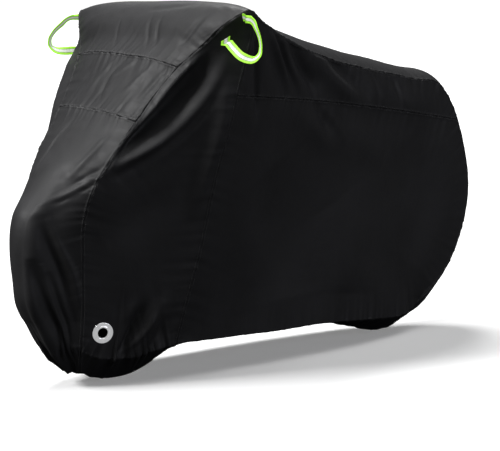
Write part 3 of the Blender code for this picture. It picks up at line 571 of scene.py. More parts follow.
def side_edges(hand):
    """The lines round and across one side: hand is -1 for the left, 1 for the right."""
    line = gore_edge.at(STATIONS[hand])[:, :3]
    foot, wheel, bar, tail, yoke_end, rear_corner = (CORNER[name] for name in (
        "beside the wheel", "wheel to lower seam", "bar to hood back", "tail to yoke", "yoke to rear hem",
        "rear hem"))
    low, knee, high = (long_seam.where[name] for name in ("hem", "yoke", "bar end"))
    below = low + (knee - low) * graded(knee - low, CELLS["yoke to rear hem"])
    above = knee + (high - knee) * graded(high - knee, CELLS["tail to yoke"])
    long = long_seam.at(np.concatenate([below, above[1:]]))
    front_top, rear_top = line[wheel:bar + 1], line[bar:tail + 1]
    parting = side_hem.where["long seam"]
    front_hem = side_hem.at(parting * spaced_like(front_top))
    rear_hem = side_hem.at(parting + (side_hem.length[-1] - parting) * spaced_like(rear_top))
    yoke = yoke_seam.at(yoke_seam.length[-1] * spaced_like(rear_top))
    yoke[0] = long[CELLS["yoke to rear hem"], :2]
    yoke[-1] = line[yoke_end, :2]
    front_left = line[foot:wheel + 1]
    front = np.concatenate([front_left, front_top[1:], long[::-1][1:], front_hem[::-1, :3][1:-1]])
    rear = np.concatenate([line[bar:rear_corner + 1], rear_hem[::-1, :3][1:], long[1:-1]])
    corners = (line[:foot + 1], line[rear_corner:][::-1])
    return Side(hand=hand, edge=line[foot:rear_corner + 1, :2], corners=corners, front_hem=front_hem,
                rear_hem=rear_hem, long=long, yoke=yoke, front_top=front_top, rear_top=rear_top,
                front_left=front_left, tail_edge=line[tail:yoke_end + 1][::-1],
                rear_edge=line[yoke_end:rear_corner + 1][::-1], front=front, rear=rear)


# %% [markdown]
# The eyelet needs flat cloth round it, or its rim would stand off. A maker would press the spot flat. Here
# the film's own slope at the eyelet is kept as a small plane, and the folds return with the distance.

# %% The widths of a side, pressed flat round the eyelet
EYELET = np.array([-0.312, 0.161])
FLAT_ROUND_EYELET = 0.046
BLEND_ROUND_EYELET = 0.085
SLOPE_STEP = 0.012       # distance from the eyelet at which the film's slope is measured


def half_widths(side, outline, points):
    gap, _ = distance_to(side.edge, points)
    return film(outline, points) + side_folds(side.hand, points, gap)


def eyelet_plane(side):
    """The half width at the eyelet, and its slope in x and z."""
    cross = EYELET + SLOPE_STEP * np.array([[0, 0], [1, 0], [-1, 0], [0, 1], [0, -1]])
    near = film(side.front, cross)
    return near[0], np.array([near[1] - near[2], near[3] - near[4]]) / (2 * SLOPE_STEP)


def pressed(side, points, half):
    middle, slope = eyelet_plane(side)
    level = middle + (points - EYELET) @ slope
    away = np.linalg.norm(points - EYELET, axis=-1)
    keep = ease((away - FLAT_ROUND_EYELET) / (BLEND_ROUND_EYELET - FLAT_ROUND_EYELET))
    return level * (1 - keep) + half * keep


# %% [markdown]
# Last the widths and the flat points are put together into the three panels' grids, and the turned-under hem
# is laid before the first row of two of them. Near a corner the hem's edge is drawn over to the gore's hem,
# so that the two stay closed.

# %% The three grids of a side
HEM_BLEND = 0.04         # how far along the hem its end is fitted to the gore's hem


def upright(hand, x, half, z):
    return np.stack([x, hand * half, z], axis=-1)


def with_hem(hand, grid, hem, corner, end):
    """The grid with its hem. "corner" is the gore's hem beside it, and "end" the column that meets it."""
    edge = upright(hand, hem[:, 3], hem[:, 5], hem[:, 4])
    corner = upright(hand, corner[:, 0], corner[:, 2], corner[:, 1])
    share = lengths_along(corner) / lengths_along(corner)[-1]
    rows = edge + (grid[0] - edge) * share[:-1, None, None]
    away = np.linalg.norm(grid[0] - grid[0, end], axis=-1)
    rows += (corner[:-1] - rows[:, end])[:, None] * np.exp(-away / HEM_BLEND)[:, None]
    return np.concatenate([rows, grid])


def side_grids(side):
    split = CELLS["yoke to rear hem"]
    pieces = {
        "side_front": (side.front, side.front_hem, side.front_top, side.front_left, side.long),
        "side_yoke": (side.rear, side.yoke, side.rear_top, side.long[split:], side.tail_edge),
        "side_rear": (side.rear, side.rear_hem, side.yoke, side.long[:split + 1], side.rear_edge),
    }
    grids = {}
    for name, (outline, *edges) in pieces.items():
        flat = patch(*edges)
        half = half_widths(side, outline, flat)
        if name == "side_front":
            half = pressed(side, flat, half)
        grids[name] = upright(side.hand, flat[..., 0], half, flat[..., 1])
    grids["side_front"] = with_hem(side.hand, grids["side_front"], side.front_hem, side.corners[0], 0)
    grids["side_rear"] = with_hem(side.hand, grids["side_rear"], side.rear_hem, side.corners[1], -1)
    return grids


# %% [markdown]
# ## From a grid of points to a sewn panel
#
# Each panel is now a grid of points. Three things turn it into cloth. Beside a seam the folded allowances
# make a low double band with the joint as a groove in its middle. From the band small puckers run into the
# panel, because the thread draws the cloth together. And at a hem the elastic gathers it. All of them move
# the points along the cloth's own normal, and are nothing at the joint, so that neighbours stay closed.

# %% Bands, puckers and gathers
BAND = 0.0011            # height of a seam's folded allowances
BAND_FLAT = 0.0046       # half the width of the double band's flat top
BAND_FALL = 0.0022       # distance over which it falls to the cloth
GROOVE = 0.0017          # half the width of the joint's groove
PUCKER_SLANT = 0.25      # puckers run off at a slant
Wave = namedtuple("Wave", "height length reach")
PUCKERS = [Wave(0.0007, 0.0115, 0.016), Wave(0.0012, 0.021, 0.030), Wave(0.0012, 0.043, 0.055)]
RUFFLES = [Wave(0.0020, 0.0100, 0.014), Wave(0.0044, 0.024, 0.045), Wave(0.0048, 0.052, 0.085)]


def band(gap):
    return BAND * ease(gap / GROOVE) * (1 - ease((gap - BAND_FLAT) / BAND_FALL))


def waves(table, gap, along, seed):
    """Waves along a line in several sizes: the finer, the nearer they stay to it."""
    return sum(wave.height * ripple(along, wave.length, seed + number) * np.exp(-gap / wave.reach)
               for number, wave in enumerate(table))


def normals_of(grid, outward):
    """Unit normals of a grid of points. "outward" is a point on the side to which they look."""
    n = np.cross(np.gradient(grid, axis=1), np.gradient(grid, axis=0))
    n /= np.maximum(np.linalg.norm(n, axis=-1), TINY)[..., None]
    mid = tuple(size // 2 for size in grid.shape[:2])
    return n if (n[mid] * (np.array(outward) - grid[mid])).sum() > 0 else -n


# %% [markdown]
# The elastic draws up the hem fully round the wheels and hardly between them. Beside the eyelet the cloth is
# pressed flat, so the gathers fade there. Puckers are flatter over the front wheel, where the cloth is taut.

# %% Where the cloth is drawn in
BETWEEN_PULL = 0.12      # the elastic's pull between the wheels
FRONT_END, FRONT_FADE = -0.08, 0.09     # the x at which the front wheel's pull ends, and how slowly
REAR_START, REAR_FADE = 0.50, 0.20
REAR_PULL = 0.6          # the pull round the rear wheel
CLEAR_OF_EYELET = 0.040  # the gathers fade this near to it
TAUT = 0.65              # how much flatter the puckers are where the cloth is taut
TAUT_TOP = 0.50          # below this height
TAUT_FADE = 0.10


def elastic(x):
    """How strongly the hem is drawn up at x."""
    front, rear = ease((FRONT_END - x) / FRONT_FADE), ease((x - REAR_START) / REAR_FADE)
    return BETWEEN_PULL + (1 - BETWEEN_PULL) * np.maximum(front, REAR_PULL * rear)


def hem_strength(line, grid, along):
    drawn = np.interp(along, lengths_along(line), elastic(line[:, 0]))
    from_eyelet = np.hypot(grid[..., 0] - EYELET[0], grid[..., 2] - EYELET[1])
    return drawn * (1 - np.exp(-((from_eyelet / CLEAR_OF_EYELET) ** 4)))


def slackness(grid):
    return 1 - TAUT * ease((TAUT_TOP - grid[..., 2]) / TAUT_FADE) * (grid[..., 0] < FRONT_ONLY)


# %% [markdown]
# A panel is sewn from its grid and from the strength of the puckers at each of its edges. An edge that isn't
# named, or has no strength, is free. The grid's first or last rows may be a hem that is turned under: then
# the row at which it turns is given too.

# %% A sewn panel
CUT_LINE = {
    "bottom": lambda grid: grid[0],
    "top": lambda grid: grid[-1],
    "left": lambda grid: grid[:, 0],
    "right": lambda grid: grid[:, -1],
}
Sewn = namedtuple("Sewn", "name cut grid out gap")


def sew(name, grid, outward, edges, hem_row, seed, extra=0.0):
    """The panel's displaced grid, its normals, and each point's distance from each seam."""
    height, raised, closed = np.zeros(grid.shape[:2]), 0.0, 1.0
    gaps = {}
    for number, (side, strength) in enumerate(edges.items()):
        if strength is None:
            continue
        gap, along = distance_to(CUT_LINE[side](grid), grid)
        gaps[side] = gap
        closed = closed * ease(gap / GROOVE)
        raised = np.maximum(raised, band(gap))
        drawn = strength * waves(PUCKERS, gap, along + PUCKER_SLANT * gap, seed + 10 * number)
        height += slackness(grid) * drawn
    if hem_row is not None:
        gap, along = distance_to(grid[hem_row], grid)
        height += hem_strength(grid[hem_row], grid, along) * waves(RUFFLES, gap, along, seed + 77)
    height += extra
    moved = grid + normals_of(grid, outward) * ((height + raised) * closed)[..., None]
    return Sewn(name, grid, moved, normals_of(moved, outward), gaps)


# %% [markdown]
# The grid becomes a mesh with one quad for each cell. It could be extruded by hand to give it a thickness,
# but a Solidify modifier does that and leaves the sheet a sheet. A map of the cloth in real metres goes with
# it, for the weave.

# %% From a grid to a thin sheet
CLOTH = 0.0008           # thickness of the sheet


def placed(points):
    """From the tables' sizes to the frame, whose origin is at the hood's crest."""
    return points - top


def grid_quads(grid):
    """The numbers of the four corners of each cell in a grid of points."""
    number = np.arange(grid.shape[0] * grid.shape[1]).reshape(grid.shape[:2])
    return np.stack([number[:-1, :-1], number[:-1, 1:], number[1:, 1:], number[1:, :-1]], -1).reshape(-1, 4)


def smooth_mesh(name, points, faces, *finishes):
    mesh = bpy.data.meshes.new(name)
    mesh.from_pydata(points.tolist(), [], faces)
    mesh.shade_smooth()
    for finish in finishes:
        mesh.materials.append(finish)
    return mesh


def thin_sheet(mesh, flat, thickness):
    """An object of a mesh, with the flat place of each face corner in metres, and a thickness."""
    mesh.uv_layers.new(name="metres").uv.foreach_set("vector", flat.astype(np.float32).ravel())
    piece = new_object(mesh.name, mesh)
    thick = piece.modifiers.new("Thickness", "SOLIDIFY")
    thick.thickness = thickness
    thick.offset = 1.0
    return piece


# %% [markdown]
# A panel is handed over with what it needs to be used: the body that it rides on, the imported panels
# that it stands for, which are hidden, and its size as it was cut.

# %% A panel, ready to use
def panel_object(panel, finish, replaces, holes=()):
    points, quads = placed(panel.grid).reshape(-1, 3), grid_quads(panel.grid)
    for centre, radius in holes:
        quads = quads[np.linalg.norm(points[quads].mean(axis=1) - centre, axis=1) > radius]
    middle = quads[len(quads) // 2]
    a, b, c = points[middle[:3]]
    if np.cross(b - a, c - a) @ panel.out.reshape(-1, 3)[middle[0]] < 0:
        quads = quads[:, ::-1]
    used, corners = np.unique(quads, return_inverse=True)
    cut = panel.cut
    across = np.linalg.norm(np.diff(cut, axis=1, prepend=cut[:, :1]), axis=-1).cumsum(axis=1)
    up = np.linalg.norm(np.diff(cut, axis=0, prepend=cut[:1]), axis=-1).cumsum(axis=0)
    flat = np.stack([across, up], -1).reshape(-1, 2)[quads.ravel()]
    mesh = smooth_mesh(panel.name, points[used], corners.reshape(-1, 4).tolist(), finish)
    sheet = thin_sheet(mesh, flat, CLOTH)
    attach(sheet, "root")
    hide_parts(*replaces)


# %% [markdown]
# ## Finishes
#
# All finishes are built from the same few nodes, so these get short helpers. A node's inputs are given as
# values, or as the outputs of other nodes, which are then linked.

# %% Helpers for finishes
def new_finish(name):
    material = bpy.data.materials.new(name)
    material.use_nodes = True
    return material, material.node_tree, material.node_tree.nodes["Principled BSDF"]


def fill(tree, node, inputs):
    for socket, value in inputs.items():
        if isinstance(value, bpy.types.NodeSocket):
            tree.links.new(value, node.inputs[socket])
        else:
            node.inputs[socket].default_value = value
    return node


def noise(tree, source, scale, detail, roughness=0.5):
    inputs = {"Vector": source, "Scale": scale, "Detail": detail, "Roughness": roughness}
    return fill(tree, tree.nodes.new("ShaderNodeTexNoise"), inputs).outputs["Fac"]


def spread(tree, value, low=0.0, high=1.0):
    """A noise's middle part, stretched to run from low to high."""
    inputs = {"Value": value, "From Min": 0.3, "From Max": 0.7, "To Min": low, "To Max": high}
    return fill(tree, tree.nodes.new("ShaderNodeMapRange"), inputs).outputs["Result"]


def bands(tree, metres, direction, inputs):
    node = fill(tree, tree.nodes.new("ShaderNodeTexWave"), {"Vector": metres, **inputs})
    node.bands_direction = direction
    return node.outputs["Fac"]


def bump(tree, height, distance, strength, before=None):
    inputs = {"Height": height, "Distance": distance, "Strength": strength}
    if before is not None:
        inputs["Normal"] = before
    return fill(tree, tree.nodes.new("ShaderNodeBump"), inputs).outputs["Normal"]


def blend(tree, share, dark, light):
    node = tree.nodes.new("ShaderNodeMix")
    node.data_type = "RGBA"
    return fill(tree, node, {"Factor": share, "A": (*dark, 1.0), "B": (*light, 1.0)}).outputs["Result"]


def calculate(tree, operation, first, second):
    node = fill(tree, tree.nodes.new("ShaderNodeMath"), {0: first, 1: second})
    node.operation = operation
    return node.outputs["Value"]


def cloth_metres(tree):
    node = tree.nodes.new("ShaderNodeUVMap")
    node.uv_map = "metres"
    return node.outputs["UV"]


def object_place(tree):
    return tree.nodes.new("ShaderNodeTexCoord").outputs["Object"]


# %% [markdown]
# The cloth is polyester with a black coating: hardly any colour of its own, a broad dull sheen, and a weave
# that only breaks the highlights. A photograph of cloth could be wrapped round it, but a few noise and wave
# nodes give the same, at any size and with no seam. The weave follows each panel's map in metres, so it runs
# with the panel. One band in it stands for a few threads, which are too fine to show.

# %% The black coated cloth
WEAVE = {"Scale": 80.0, "Distortion": 0.6, "Detail": 1.0}     # a band every 3.9 mm


def coated_cloth(name, dark, light):
    """Coated polyester. "dark" and "light" bound its uneven colour."""
    material, tree, shader = new_finish(name)
    place, metres = object_place(tree), cloth_metres(tree)
    weave = calculate(tree, "MAXIMUM", bands(tree, metres, "X", WEAVE), bands(tree, metres, "Y", WEAVE))
    crinkle = bump(tree, noise(tree, place, 26.0, 4.0, 0.55), 0.0050, 0.15)
    creases = bump(tree, noise(tree, place, 95.0, 3.0, 0.6), 0.0011, 0.15, crinkle)
    fill(tree, shader, {
        "Base Color": blend(tree, spread(tree, noise(tree, place, 7.0, 3.0)), dark, light),
        "Normal": bump(tree, weave, 0.00012, 0.35, creases),
        "Roughness": spread(tree, noise(tree, place, 38.0, 4.0), 0.50, 0.60),
        "Specular IOR Level": 0.30,
    })
    return material


cloth_black = coated_cloth("coated_polyester_black", (0.020, 0.020, 0.021), (0.026, 0.026, 0.0276))
print("made", cloth_black.name)

# %% [markdown]
# The thread is a dark grey that is only a little lighter than the cloth. The webbing is woven of neon yarn
# with a reflective stripe. Neon yarn turns violet light that the eye hardly sees into green, which Blender
# doesn't reckon with, so a faint emission of its own colour stands for that, and is also painted light that
# lifts the loops' shaded side. The reflective stripe and the dull line beside it glow as well: painted
# reflection and painted light, not fluorescence.

# %% Thread and webbing
RIBS = {"Scale": 38.0, "Distortion": 0.4}     # a soft rib every 8 mm


def thread_finish(name, colour):
    material, tree, shader = new_finish(name)
    fibres = spread(tree, noise(tree, object_place(tree), 700.0, 2.0))
    shade = [0.7 * part for part in colour]
    fill(tree, shader, {"Base Color": blend(tree, fibres, shade, colour), "Roughness": 0.5})
    return material


def webbing_finish(name, dark, light, roughness, fluorescence_and_painted_light):
    """Woven webbing with ribs across it."""
    material, tree, shader = new_finish(name)
    metres = cloth_metres(tree)
    grain = noise(tree, metres, 900.0, 2.0)
    ribbed = bump(tree, bands(tree, metres, "Y", RIBS), 0.0004, 0.5)
    tone = blend(tree, spread(tree, grain), dark, light)
    fill(tree, shader, {
        "Base Color": tone,
        "Normal": bump(tree, grain, 0.0002, 0.5, ribbed),
        "Roughness": roughness,
        # emission in the webbing's own colour: painted light, which is partly fluorescence in the neon yarn
        "Emission Color": tone,
        "Emission Strength": fluorescence_and_painted_light,
    })
    return material


thread_grey = thread_finish("seam_thread_grey", (0.085, 0.085, 0.085))
# the last number of each is its emission: fluorescence and painted light for the neon, painted light for the
# dull line, painted reflection for the stripe
webbing_green = webbing_finish("webbing_neon_green", (0.30, 0.80, 0.03), (0.47, 0.95, 0.07), 0.6, 0.45)
webbing_edge = webbing_finish("webbing_stripe_edge", (0.20, 0.30, 0.12), (0.32, 0.42, 0.22), 0.6, 0.35)
webbing_silver = webbing_finish("webbing_reflective_stripe", (0.62, 0.66, 0.60), (0.86, 0.90, 0.84),
                                0.35, 0.40)
print("made", ", ".join(made.name for made in (thread_grey, webbing_green, webbing_edge, webbing_silver)))

# %% [markdown]
# The eyelets are chromed. Chrome looks like what stands round it, and here that is an empty studio. A room
# could be built for it to mirror, but a little emission gives the same bright ring.

# %% Chrome
CHROME_LIFT = 0.45       # stands for the bright studio that real chrome would mirror


def chrome_finish(name):
    material, tree, shader = new_finish(name)
    smear = noise(tree, object_place(tree), 160.0, 3.0)
    tone = blend(tree, spread(tree, smear), (0.80, 0.81, 0.83), (0.92, 0.92, 0.93))
    fill(tree, shader, {
        "Base Color": tone,
        "Roughness": spread(tree, smear, 0.10, 0.24),
        "Metallic": 1.0,
        "Emission Color": tone,
        "Emission Strength": CHROME_LIFT,
    })
    return material


eyelet_chrome = chrome_finish("eyelet_chrome")
print("made", eyelet_chrome.name)

# %% [markdown]
# ## The gore's four panels
#
# On the real cover the gore is not one strip but four pieces, joined by cross seams: one round the front
# wheel, one in front of the stem, one over the bar, and the long one along the back. Each is cut from the
# same surface between two stations, so that they meet.
#
# Its folds are placed on the flat cloth: first the length along the edge seam, then the way sideways from
# the gore's middle, negative to the left.

# %% Folds of the gore
Crease = namedtuple("Crease", "place start mid end width height")
GORE_FOLDS = [Crease(*row) for row in (
    ("tyre's edge", (0.47, -0.066), (0.285, -0.051), (0.1, -0.042), 0.01, 0.0065),
    ("trough of the low lobe", (0.345, -0.05), (0.225, -0.056), (0.098, -0.053), 0.0065, -0.011),
    ("ridge of the low lobe", (0.33, -0.06), (0.205, -0.064), (0.075, -0.063), 0.004, 0.006),
    ("trough between the lobes", (0.3, -0.068), (0.21, -0.072), (0.095, -0.072), 0.006, -0.0085),
    ("trough of the high lobe", (0.44, -0.062), (0.27, -0.085), (0.098, -0.081), 0.0085, -0.0125),
    ("ridge of the high lobe", (0.44, -0.074), (0.29, -0.099), (0.095, -0.09), 0.0055, 0.0065),
    ("trough by the seam", (0.29, -0.107), (0.19, -0.101), (0.095, -0.096), 0.005, -0.0055),
    ("fold from the lower cross seam", (0.698, -0.13), (0.609, -0.11), (0.54, -0.084), 0.01, 0.0035),
    ("long fold above the rim", (0.562, -0.158), (0.508, -0.1), (0.472, -0.05), 0.008, 0.004),
    ("trough above the rim", (0.548, -0.153), (0.5, -0.11), (0.484, -0.072), 0.007, -0.004),
    ("short fold above the rim", (0.53, -0.15), (0.506, -0.117), (0.48, -0.093), 0.006, 0.003),
    ("streak by the seam", (0.598, -0.163), (0.56, -0.13), (0.53, -0.1), 0.006, -0.003),
    ("mid panel, first", (0.951, 0.009), (0.886, 0.037), (0.81, 0.067), 0.01, 0.003),
    ("mid panel, second", (0.952, -0.09), (0.909, -0.051), (0.873, -0.005), 0.009, 0.003),
    ("mid panel, third", (0.949, -0.043), (0.88, -0.005), (0.802, -0.017), 0.009, -0.003),
    ("mid panel, fourth", (0.94, -0.161), (0.891, -0.134), (0.826, -0.095), 0.01, 0.003),
    ("mid panel, by the seam", (0.93, -0.205), (0.87, -0.18), (0.8, -0.16), 0.009, -0.0035),
    ("hood, first", (1.075, 0.093), (1.029, 0.081), (0.982, 0.06), 0.006, -0.0016),
    ("hood, second", (1.089, -0.045), (1.044, -0.06), (0.986, -0.08), 0.006, -0.0022),
    ("hood, third", (1.084, -0.094), (1.045, -0.099), (0.988, -0.117), 0.006, -0.0022),
    ("hood, fourth", (1.098, -0.268), (1.054, -0.239), (0.994, -0.207), 0.009, -0.003),
    ("hood, along the top", (1.107, -0.004), (1.115, -0.11), (1.131, -0.212), 0.007, -0.002),
    ("fold to the far seam", (0.715, 0.052), (0.637, 0.072), (0.54, 0.068), 0.009, 0.004),
)]
print(len(GORE_FOLDS), "folds on the gore")

# %% [markdown]
# "bottom" and "top" give the strength of the puckers at a panel's two ends, or None where the edge is free.

# %% Sew the gore
Cut = namedtuple("Cut", "first last cells bottom top hem_row")
GORE_CUTS = {
    "front_wheel_panel": Cut("front hem", "lower to upper seam", 128, None, 1.0, CELLS["front hem"]),
    "front_mid_panel": Cut("lower to upper seam", "upper seam to bar", 96, 1.2, 1.2, None),
    "bar_hood_panel": Cut("upper seam to bar", "hood back to tail", 130, 1.0, 0.8, None),
    "back_strip_panel": Cut("hood back to tail", "end", 80, 0.8, None, -1 - CELLS["rear hem"]),
}
INSIDE = np.array([0.35, 0.0, 0.5])     # a point under the cover, from which its outer side looks away

panels = {}
for seed, (name, cut) in enumerate(GORE_CUTS.items()):
    grid, flat = gore_grid(CORNER[cut.first], CORNER[cut.last], cut.cells)
    middle = grid[grid.shape[0] // 2, grid.shape[1] // 2]
    edges = {"left": 1.0, "right": 1.0, "bottom": cut.bottom, "top": cut.top}
    folds = sum(fold_height(fold, fold.height, flat) for fold in GORE_FOLDS)
    extra = SWELL * swells(flat, 0.15, 1.5, 20 + seed) + folds
    panels[name] = sew(name + "_cloth", grid, 2 * middle - INSIDE, edges, cut.hem_row, 100 * seed, extra)
    panel_object(panels[name], cloth_black, [name])

# %% [markdown]
# ## The two sides
#
# Each side is three panels: one in front of the long seam, the yoke under the back, and the big rear panel
# below it. The same code sews both sides, and the tables' "left" and "right" columns make them differ. The
# front panel is cut away under the eyelet's flange, so that the bore stays open.

# %% Sew the sides
SIDE_CUTS = {
    "side_front": ({"left": 1.0, "top": 1.0, "right": 0.9}, ["side_front", "side_strip"]),
    "side_yoke": ({"top": 1.0, "right": 1.0, "left": 0.8, "bottom": 1.3}, ["side_yoke"]),
    "side_rear": ({"right": 1.0, "left": 0.9, "top": 1.3}, ["side_rear"]),
}
HIDDEN_BY_FLANGE = 0.021     # radius round the eyelet inside which the cloth is cut away
FAR_SIDE = 9.0               # a distance well beyond a side

eyelets = {}
for hand, tag in ((-1, "_left"), (1, "_right")):
    side = side_edges(hand)
    half, slope = eyelet_plane(side)
    centre = placed(np.array([EYELET[0], hand * half, EYELET[1]]))
    eyelets[tag] = (centre, Vector((-slope[0], hand, -slope[1])).normalized())
    outward = np.array([INSIDE[0], hand * FAR_SIDE, INSIDE[2]])
    for seed, (name, grid) in enumerate(side_grids(side).items()):
        edges, replaced = SIDE_CUTS[name]
        hem_row = CELLS["front hem"] if name != "side_yoke" else None
        panel = sew(name + tag + "_cloth", grid, outward, edges, hem_row, 1000 + 100 * seed + 500 * hand)
        holes = [(centre, HIDDEN_BY_FLANGE)] if name == "side_front" else []
        panel_object(panel, cloth_black, [node + tag for node in replaced], holes)
        panels[name + tag] = panel

# %% [markdown]
# ## Eyelets
#
# A metal eyelet is two rings pressed together through the cloth. Both have the same section: a rounded outer
# rim, a shallow dish and a lip rolled over round the bore. A section of a few points is turned round the
# axis, which the Screw modifier does.

# %% Turn the eyelets
EYELET_OUTER, EYELET_BORE = 0.030, 0.015     # radii
RIM_WIDE, RIM_HIGH = 0.0016, 0.0012
DISH_IN, DISH_HIGH = 0.0075, 0.0009          # the dish, in from the outer radius
LIP_WIDE, LIP_HIGH = 0.0026, 0.0022
BARREL_WALL = 0.0012
GRIP = CLOTH / 2 + 0.0001                    # from the middle of the cloth to a ring
EYELET_STEPS = 96


def arc(middle, wide, high, start, points):
    """Points of a section's rounded part, from an angle on."""
    return [(middle + wide * math.cos(a), GRIP + high * math.sin(a)) for a in np.linspace(start, *points)]


def turned_eyelet(name, centre, out):
    face = [(EYELET_OUTER, GRIP)]
    face += arc(EYELET_OUTER - RIM_WIDE, RIM_WIDE, RIM_HIGH, 0.0, (math.pi / 2, 7))
    face += [(EYELET_OUTER - DISH_IN, GRIP + DISH_HIGH)]
    face += arc(EYELET_BORE + LIP_WIDE, LIP_WIDE, LIP_HIGH, 0.35, (math.pi, 11))
    barrel = EYELET_BORE + BARREL_WALL
    section = face + [(r, -z) for r, z in reversed(face)] + [(barrel, -GRIP), (barrel, GRIP)]
    mesh = bpy.data.meshes.new(name)
    lines = [(i, (i + 1) % len(section)) for i in range(len(section))]
    mesh.from_pydata([(r, 0.0, z) for r, z in section], lines, [])
    mesh.materials.append(eyelet_chrome)
    ring = new_object(name, mesh)
    turn = ring.modifiers.new("Turn", "SCREW")
    turn.steps = turn.render_steps = EYELET_STEPS
    turn.use_merge_vertices = True
    turn.merge_threshold = 0.00001
    turn.use_normal_flip = True
    turn.use_smooth_shade = True
    facing = out.to_track_quat("Z", "Y").to_matrix().to_4x4()
    ring.matrix_world = Matrix.Translation(Vector(centre) + out * (CLOTH / 2)) @ facing
    return ring


for tag, (centre, out) in eyelets.items():
    ring = turned_eyelet("eyelet" + tag + "_chrome", centre, out)
    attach(ring, "root")
    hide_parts("eyelet" + tag)
    print(ring.name, "at", [round(part, 3) for part in centre])

# %% [markdown]
# ## Webbing loops
#
# A loop of neon webbing is sewn on at each end of the bar, to pass a lock through. The cloth simulation
# would make it limp, and the real webbing is stiff enough to stand, so its way is a table: a line of points
# with the direction of the strap's width at each.

# %% The loops' ways
Web = namedtuple("Web", "place x z y wx wy wz")
LEFT_LOOP = [Web(*row) for row in (
    ("upper end", -0.018, 1.039, -0.373, 0.3, 0.49, -0.82),
    ("off the cloth", -0.011, 1.038, -0.384, 0.29, 0.69, -0.66),
    ("out", -0.01, 1.028, -0.404, 0.26, 0.87, -0.42),
    ("over", -0.011, 1.009, -0.42, 0.36, 0.9, -0.25),
    ("edge on", -0.007, 0.982, -0.43, 0.43, 0.88, -0.18),
    ("down", -0.005, 0.956, -0.432, 0.41, 0.91, -0.09),
    ("turn", -0.01, 0.933, -0.428, 0.3, 0.93, 0.19),
    ("bottom", -0.025, 0.923, -0.416, 0.4, 0.48, 0.78),
    ("up", -0.038, 0.931, -0.394, 0.47, -0.29, 0.83),
    ("back to the cloth", -0.039, 0.953, -0.358, 0.6, -0.43, 0.67),
    ("lower end", -0.042, 0.981, -0.328, 0.64, -0.47, 0.61),
)]
RIGHT_LOOP = [Web(*row) for row in (
    ("upper end", -0.014, 1.037, 0.38, 0.5, 0.25, -0.78),
    ("out", -0.03, 1.034, 0.403, 0.7, 0.52, -0.5),
    ("over", -0.058, 1.012, 0.418, 0.76, 0.52, -0.4),
    ("front", -0.08, 0.99, 0.426, 0.8, 0.56, -0.26),
    ("down", -0.094, 0.967, 0.426, 0.84, 0.54, -0.1),
    ("turn", -0.097, 0.949, 0.416, 0.88, 0.45, 0.15),
    ("bottom", -0.091, 0.938, 0.398, 0.66, 0.32, 0.68),
    ("back to the cloth", -0.072, 0.935, 0.378, 0.2, 0.2, 0.95),
    ("lower end", -0.045, 0.938, 0.362, 0.05, 0.05, 1.0),
)]
WEBBING_WIDTH = 0.025
WEBBING_THICK = 0.0014
LOOP_STEPS = 150
SEWN_STEPS = 10          # of these, how many lie on the cloth at each end
LIFT_PER_STEP = 0.0004   # how fast the strap leaves the cloth
TAB_CLEAR = 0.0012       # from the cloth to a sewn end
BEYOND = 0.3             # how far outside the strap the way to the cloth is measured from
STRIPE = [0, 0, 0, 1, 2, 2, 2, 2, 1, 0, 0, 0]     # the webbing's colour in each of its columns
COLUMNS = np.linspace(-1.0, 1.0, len(STRIPE) + 1)

# %% [markdown]
# The flat strap is swept along its way. Wherever it would touch the cloth it is lifted off it, which a ray
# from outside finds. The Shrinkwrap modifier could do that too, but not with a lift that grows with the
# distance from the sewn end.

# %% A strap along its way, clear of the cloth
def swept(rows):
    """The middle line of a strap, the points across it, and its face's direction at each step."""
    way = Curve(rows)
    data = way.at(np.linspace(0.0, way.length[-1], LOOP_STEPS + 1))
    centre = np.stack([data[:, 0], data[:, 2], data[:, 1]], axis=1)
    ahead = np.gradient(centre, axis=0)
    ahead /= np.linalg.norm(ahead, axis=1)[:, None]
    wide = data[:, 3:6] - (data[:, 3:6] * ahead).sum(axis=1)[:, None] * ahead
    wide *= (WEBBING_WIDTH / 2) / np.linalg.norm(wide, axis=1)[:, None]
    return centre, centre[:, None] + wide[:, None] * COLUMNS[None, :, None], np.cross(ahead, wide)


def lift_off(strip, face, inward, trees):
    """Moves the strap's points out of the cloth, and its sewn ends onto it."""
    facing_in = face @ np.array(inward)
    facing_in *= -math.copysign(1.0, facing_in[0])
    for i, j in np.ndindex(strip.shape[:2]):
        point, from_end = Vector(strip[i, j]), min(i, LOOP_STEPS - i) - SEWN_STEPS
        hits = [tree.ray_cast(point - inward * BEYOND, inward) for tree in trees]
        hits = [hit for hit in hits if hit[0] is not None]
        if not hits:
            continue
        spot = min(hits, key=lambda hit: hit[3])[0]
        least = TAB_CLEAR + max(from_end, 0) * LIFT_PER_STEP + (WEBBING_THICK if facing_in[i] > 0 else 0.0)
        if from_end < 0 or (point - spot).dot(inward) > -least:
            strip[i, j] = spot - inward * least


# %% [markdown]
# The strap's twelve columns of cells are coloured as they are woven: neon at both edges, the reflective
# stripe in the middle, and a dull line between them.

# %% Sew on the loops
def webbing_loop(name, rows, under):
    """The strap of a loop, whose two ends lie on the cloth under them."""
    trees = [BVHTree.FromPolygons(panel.grid.reshape(-1, 3).tolist(), grid_quads(panel.grid).tolist())
             for panel in under]
    centre, strip, face = swept(rows)
    inward = Vector((0.0, -math.copysign(1.0, centre[0, 1]), 0.0))
    lift_off(strip, face, inward, trees)
    quads = grid_quads(strip)
    if np.cross(strip[0, 1] - strip[0, 0], strip[1, 0] - strip[0, 0]) @ np.array(inward) > 0:
        quads = quads[:, ::-1]
    finishes = (webbing_green, webbing_edge, webbing_silver)
    mesh = smooth_mesh(name, placed(strip).reshape(-1, 3), quads.tolist(), *finishes)
    mesh.polygons.foreach_set("material_index", np.array(STRIPE * LOOP_STEPS, dtype=np.int32))
    along = lengths_along(centre)
    flat = np.stack(np.broadcast_arrays(COLUMNS[None] * WEBBING_WIDTH / 2, along[:, None]), -1)
    return thin_sheet(mesh, flat.reshape(-1, 2)[quads.ravel()], WEBBING_THICK), float(along[-1])


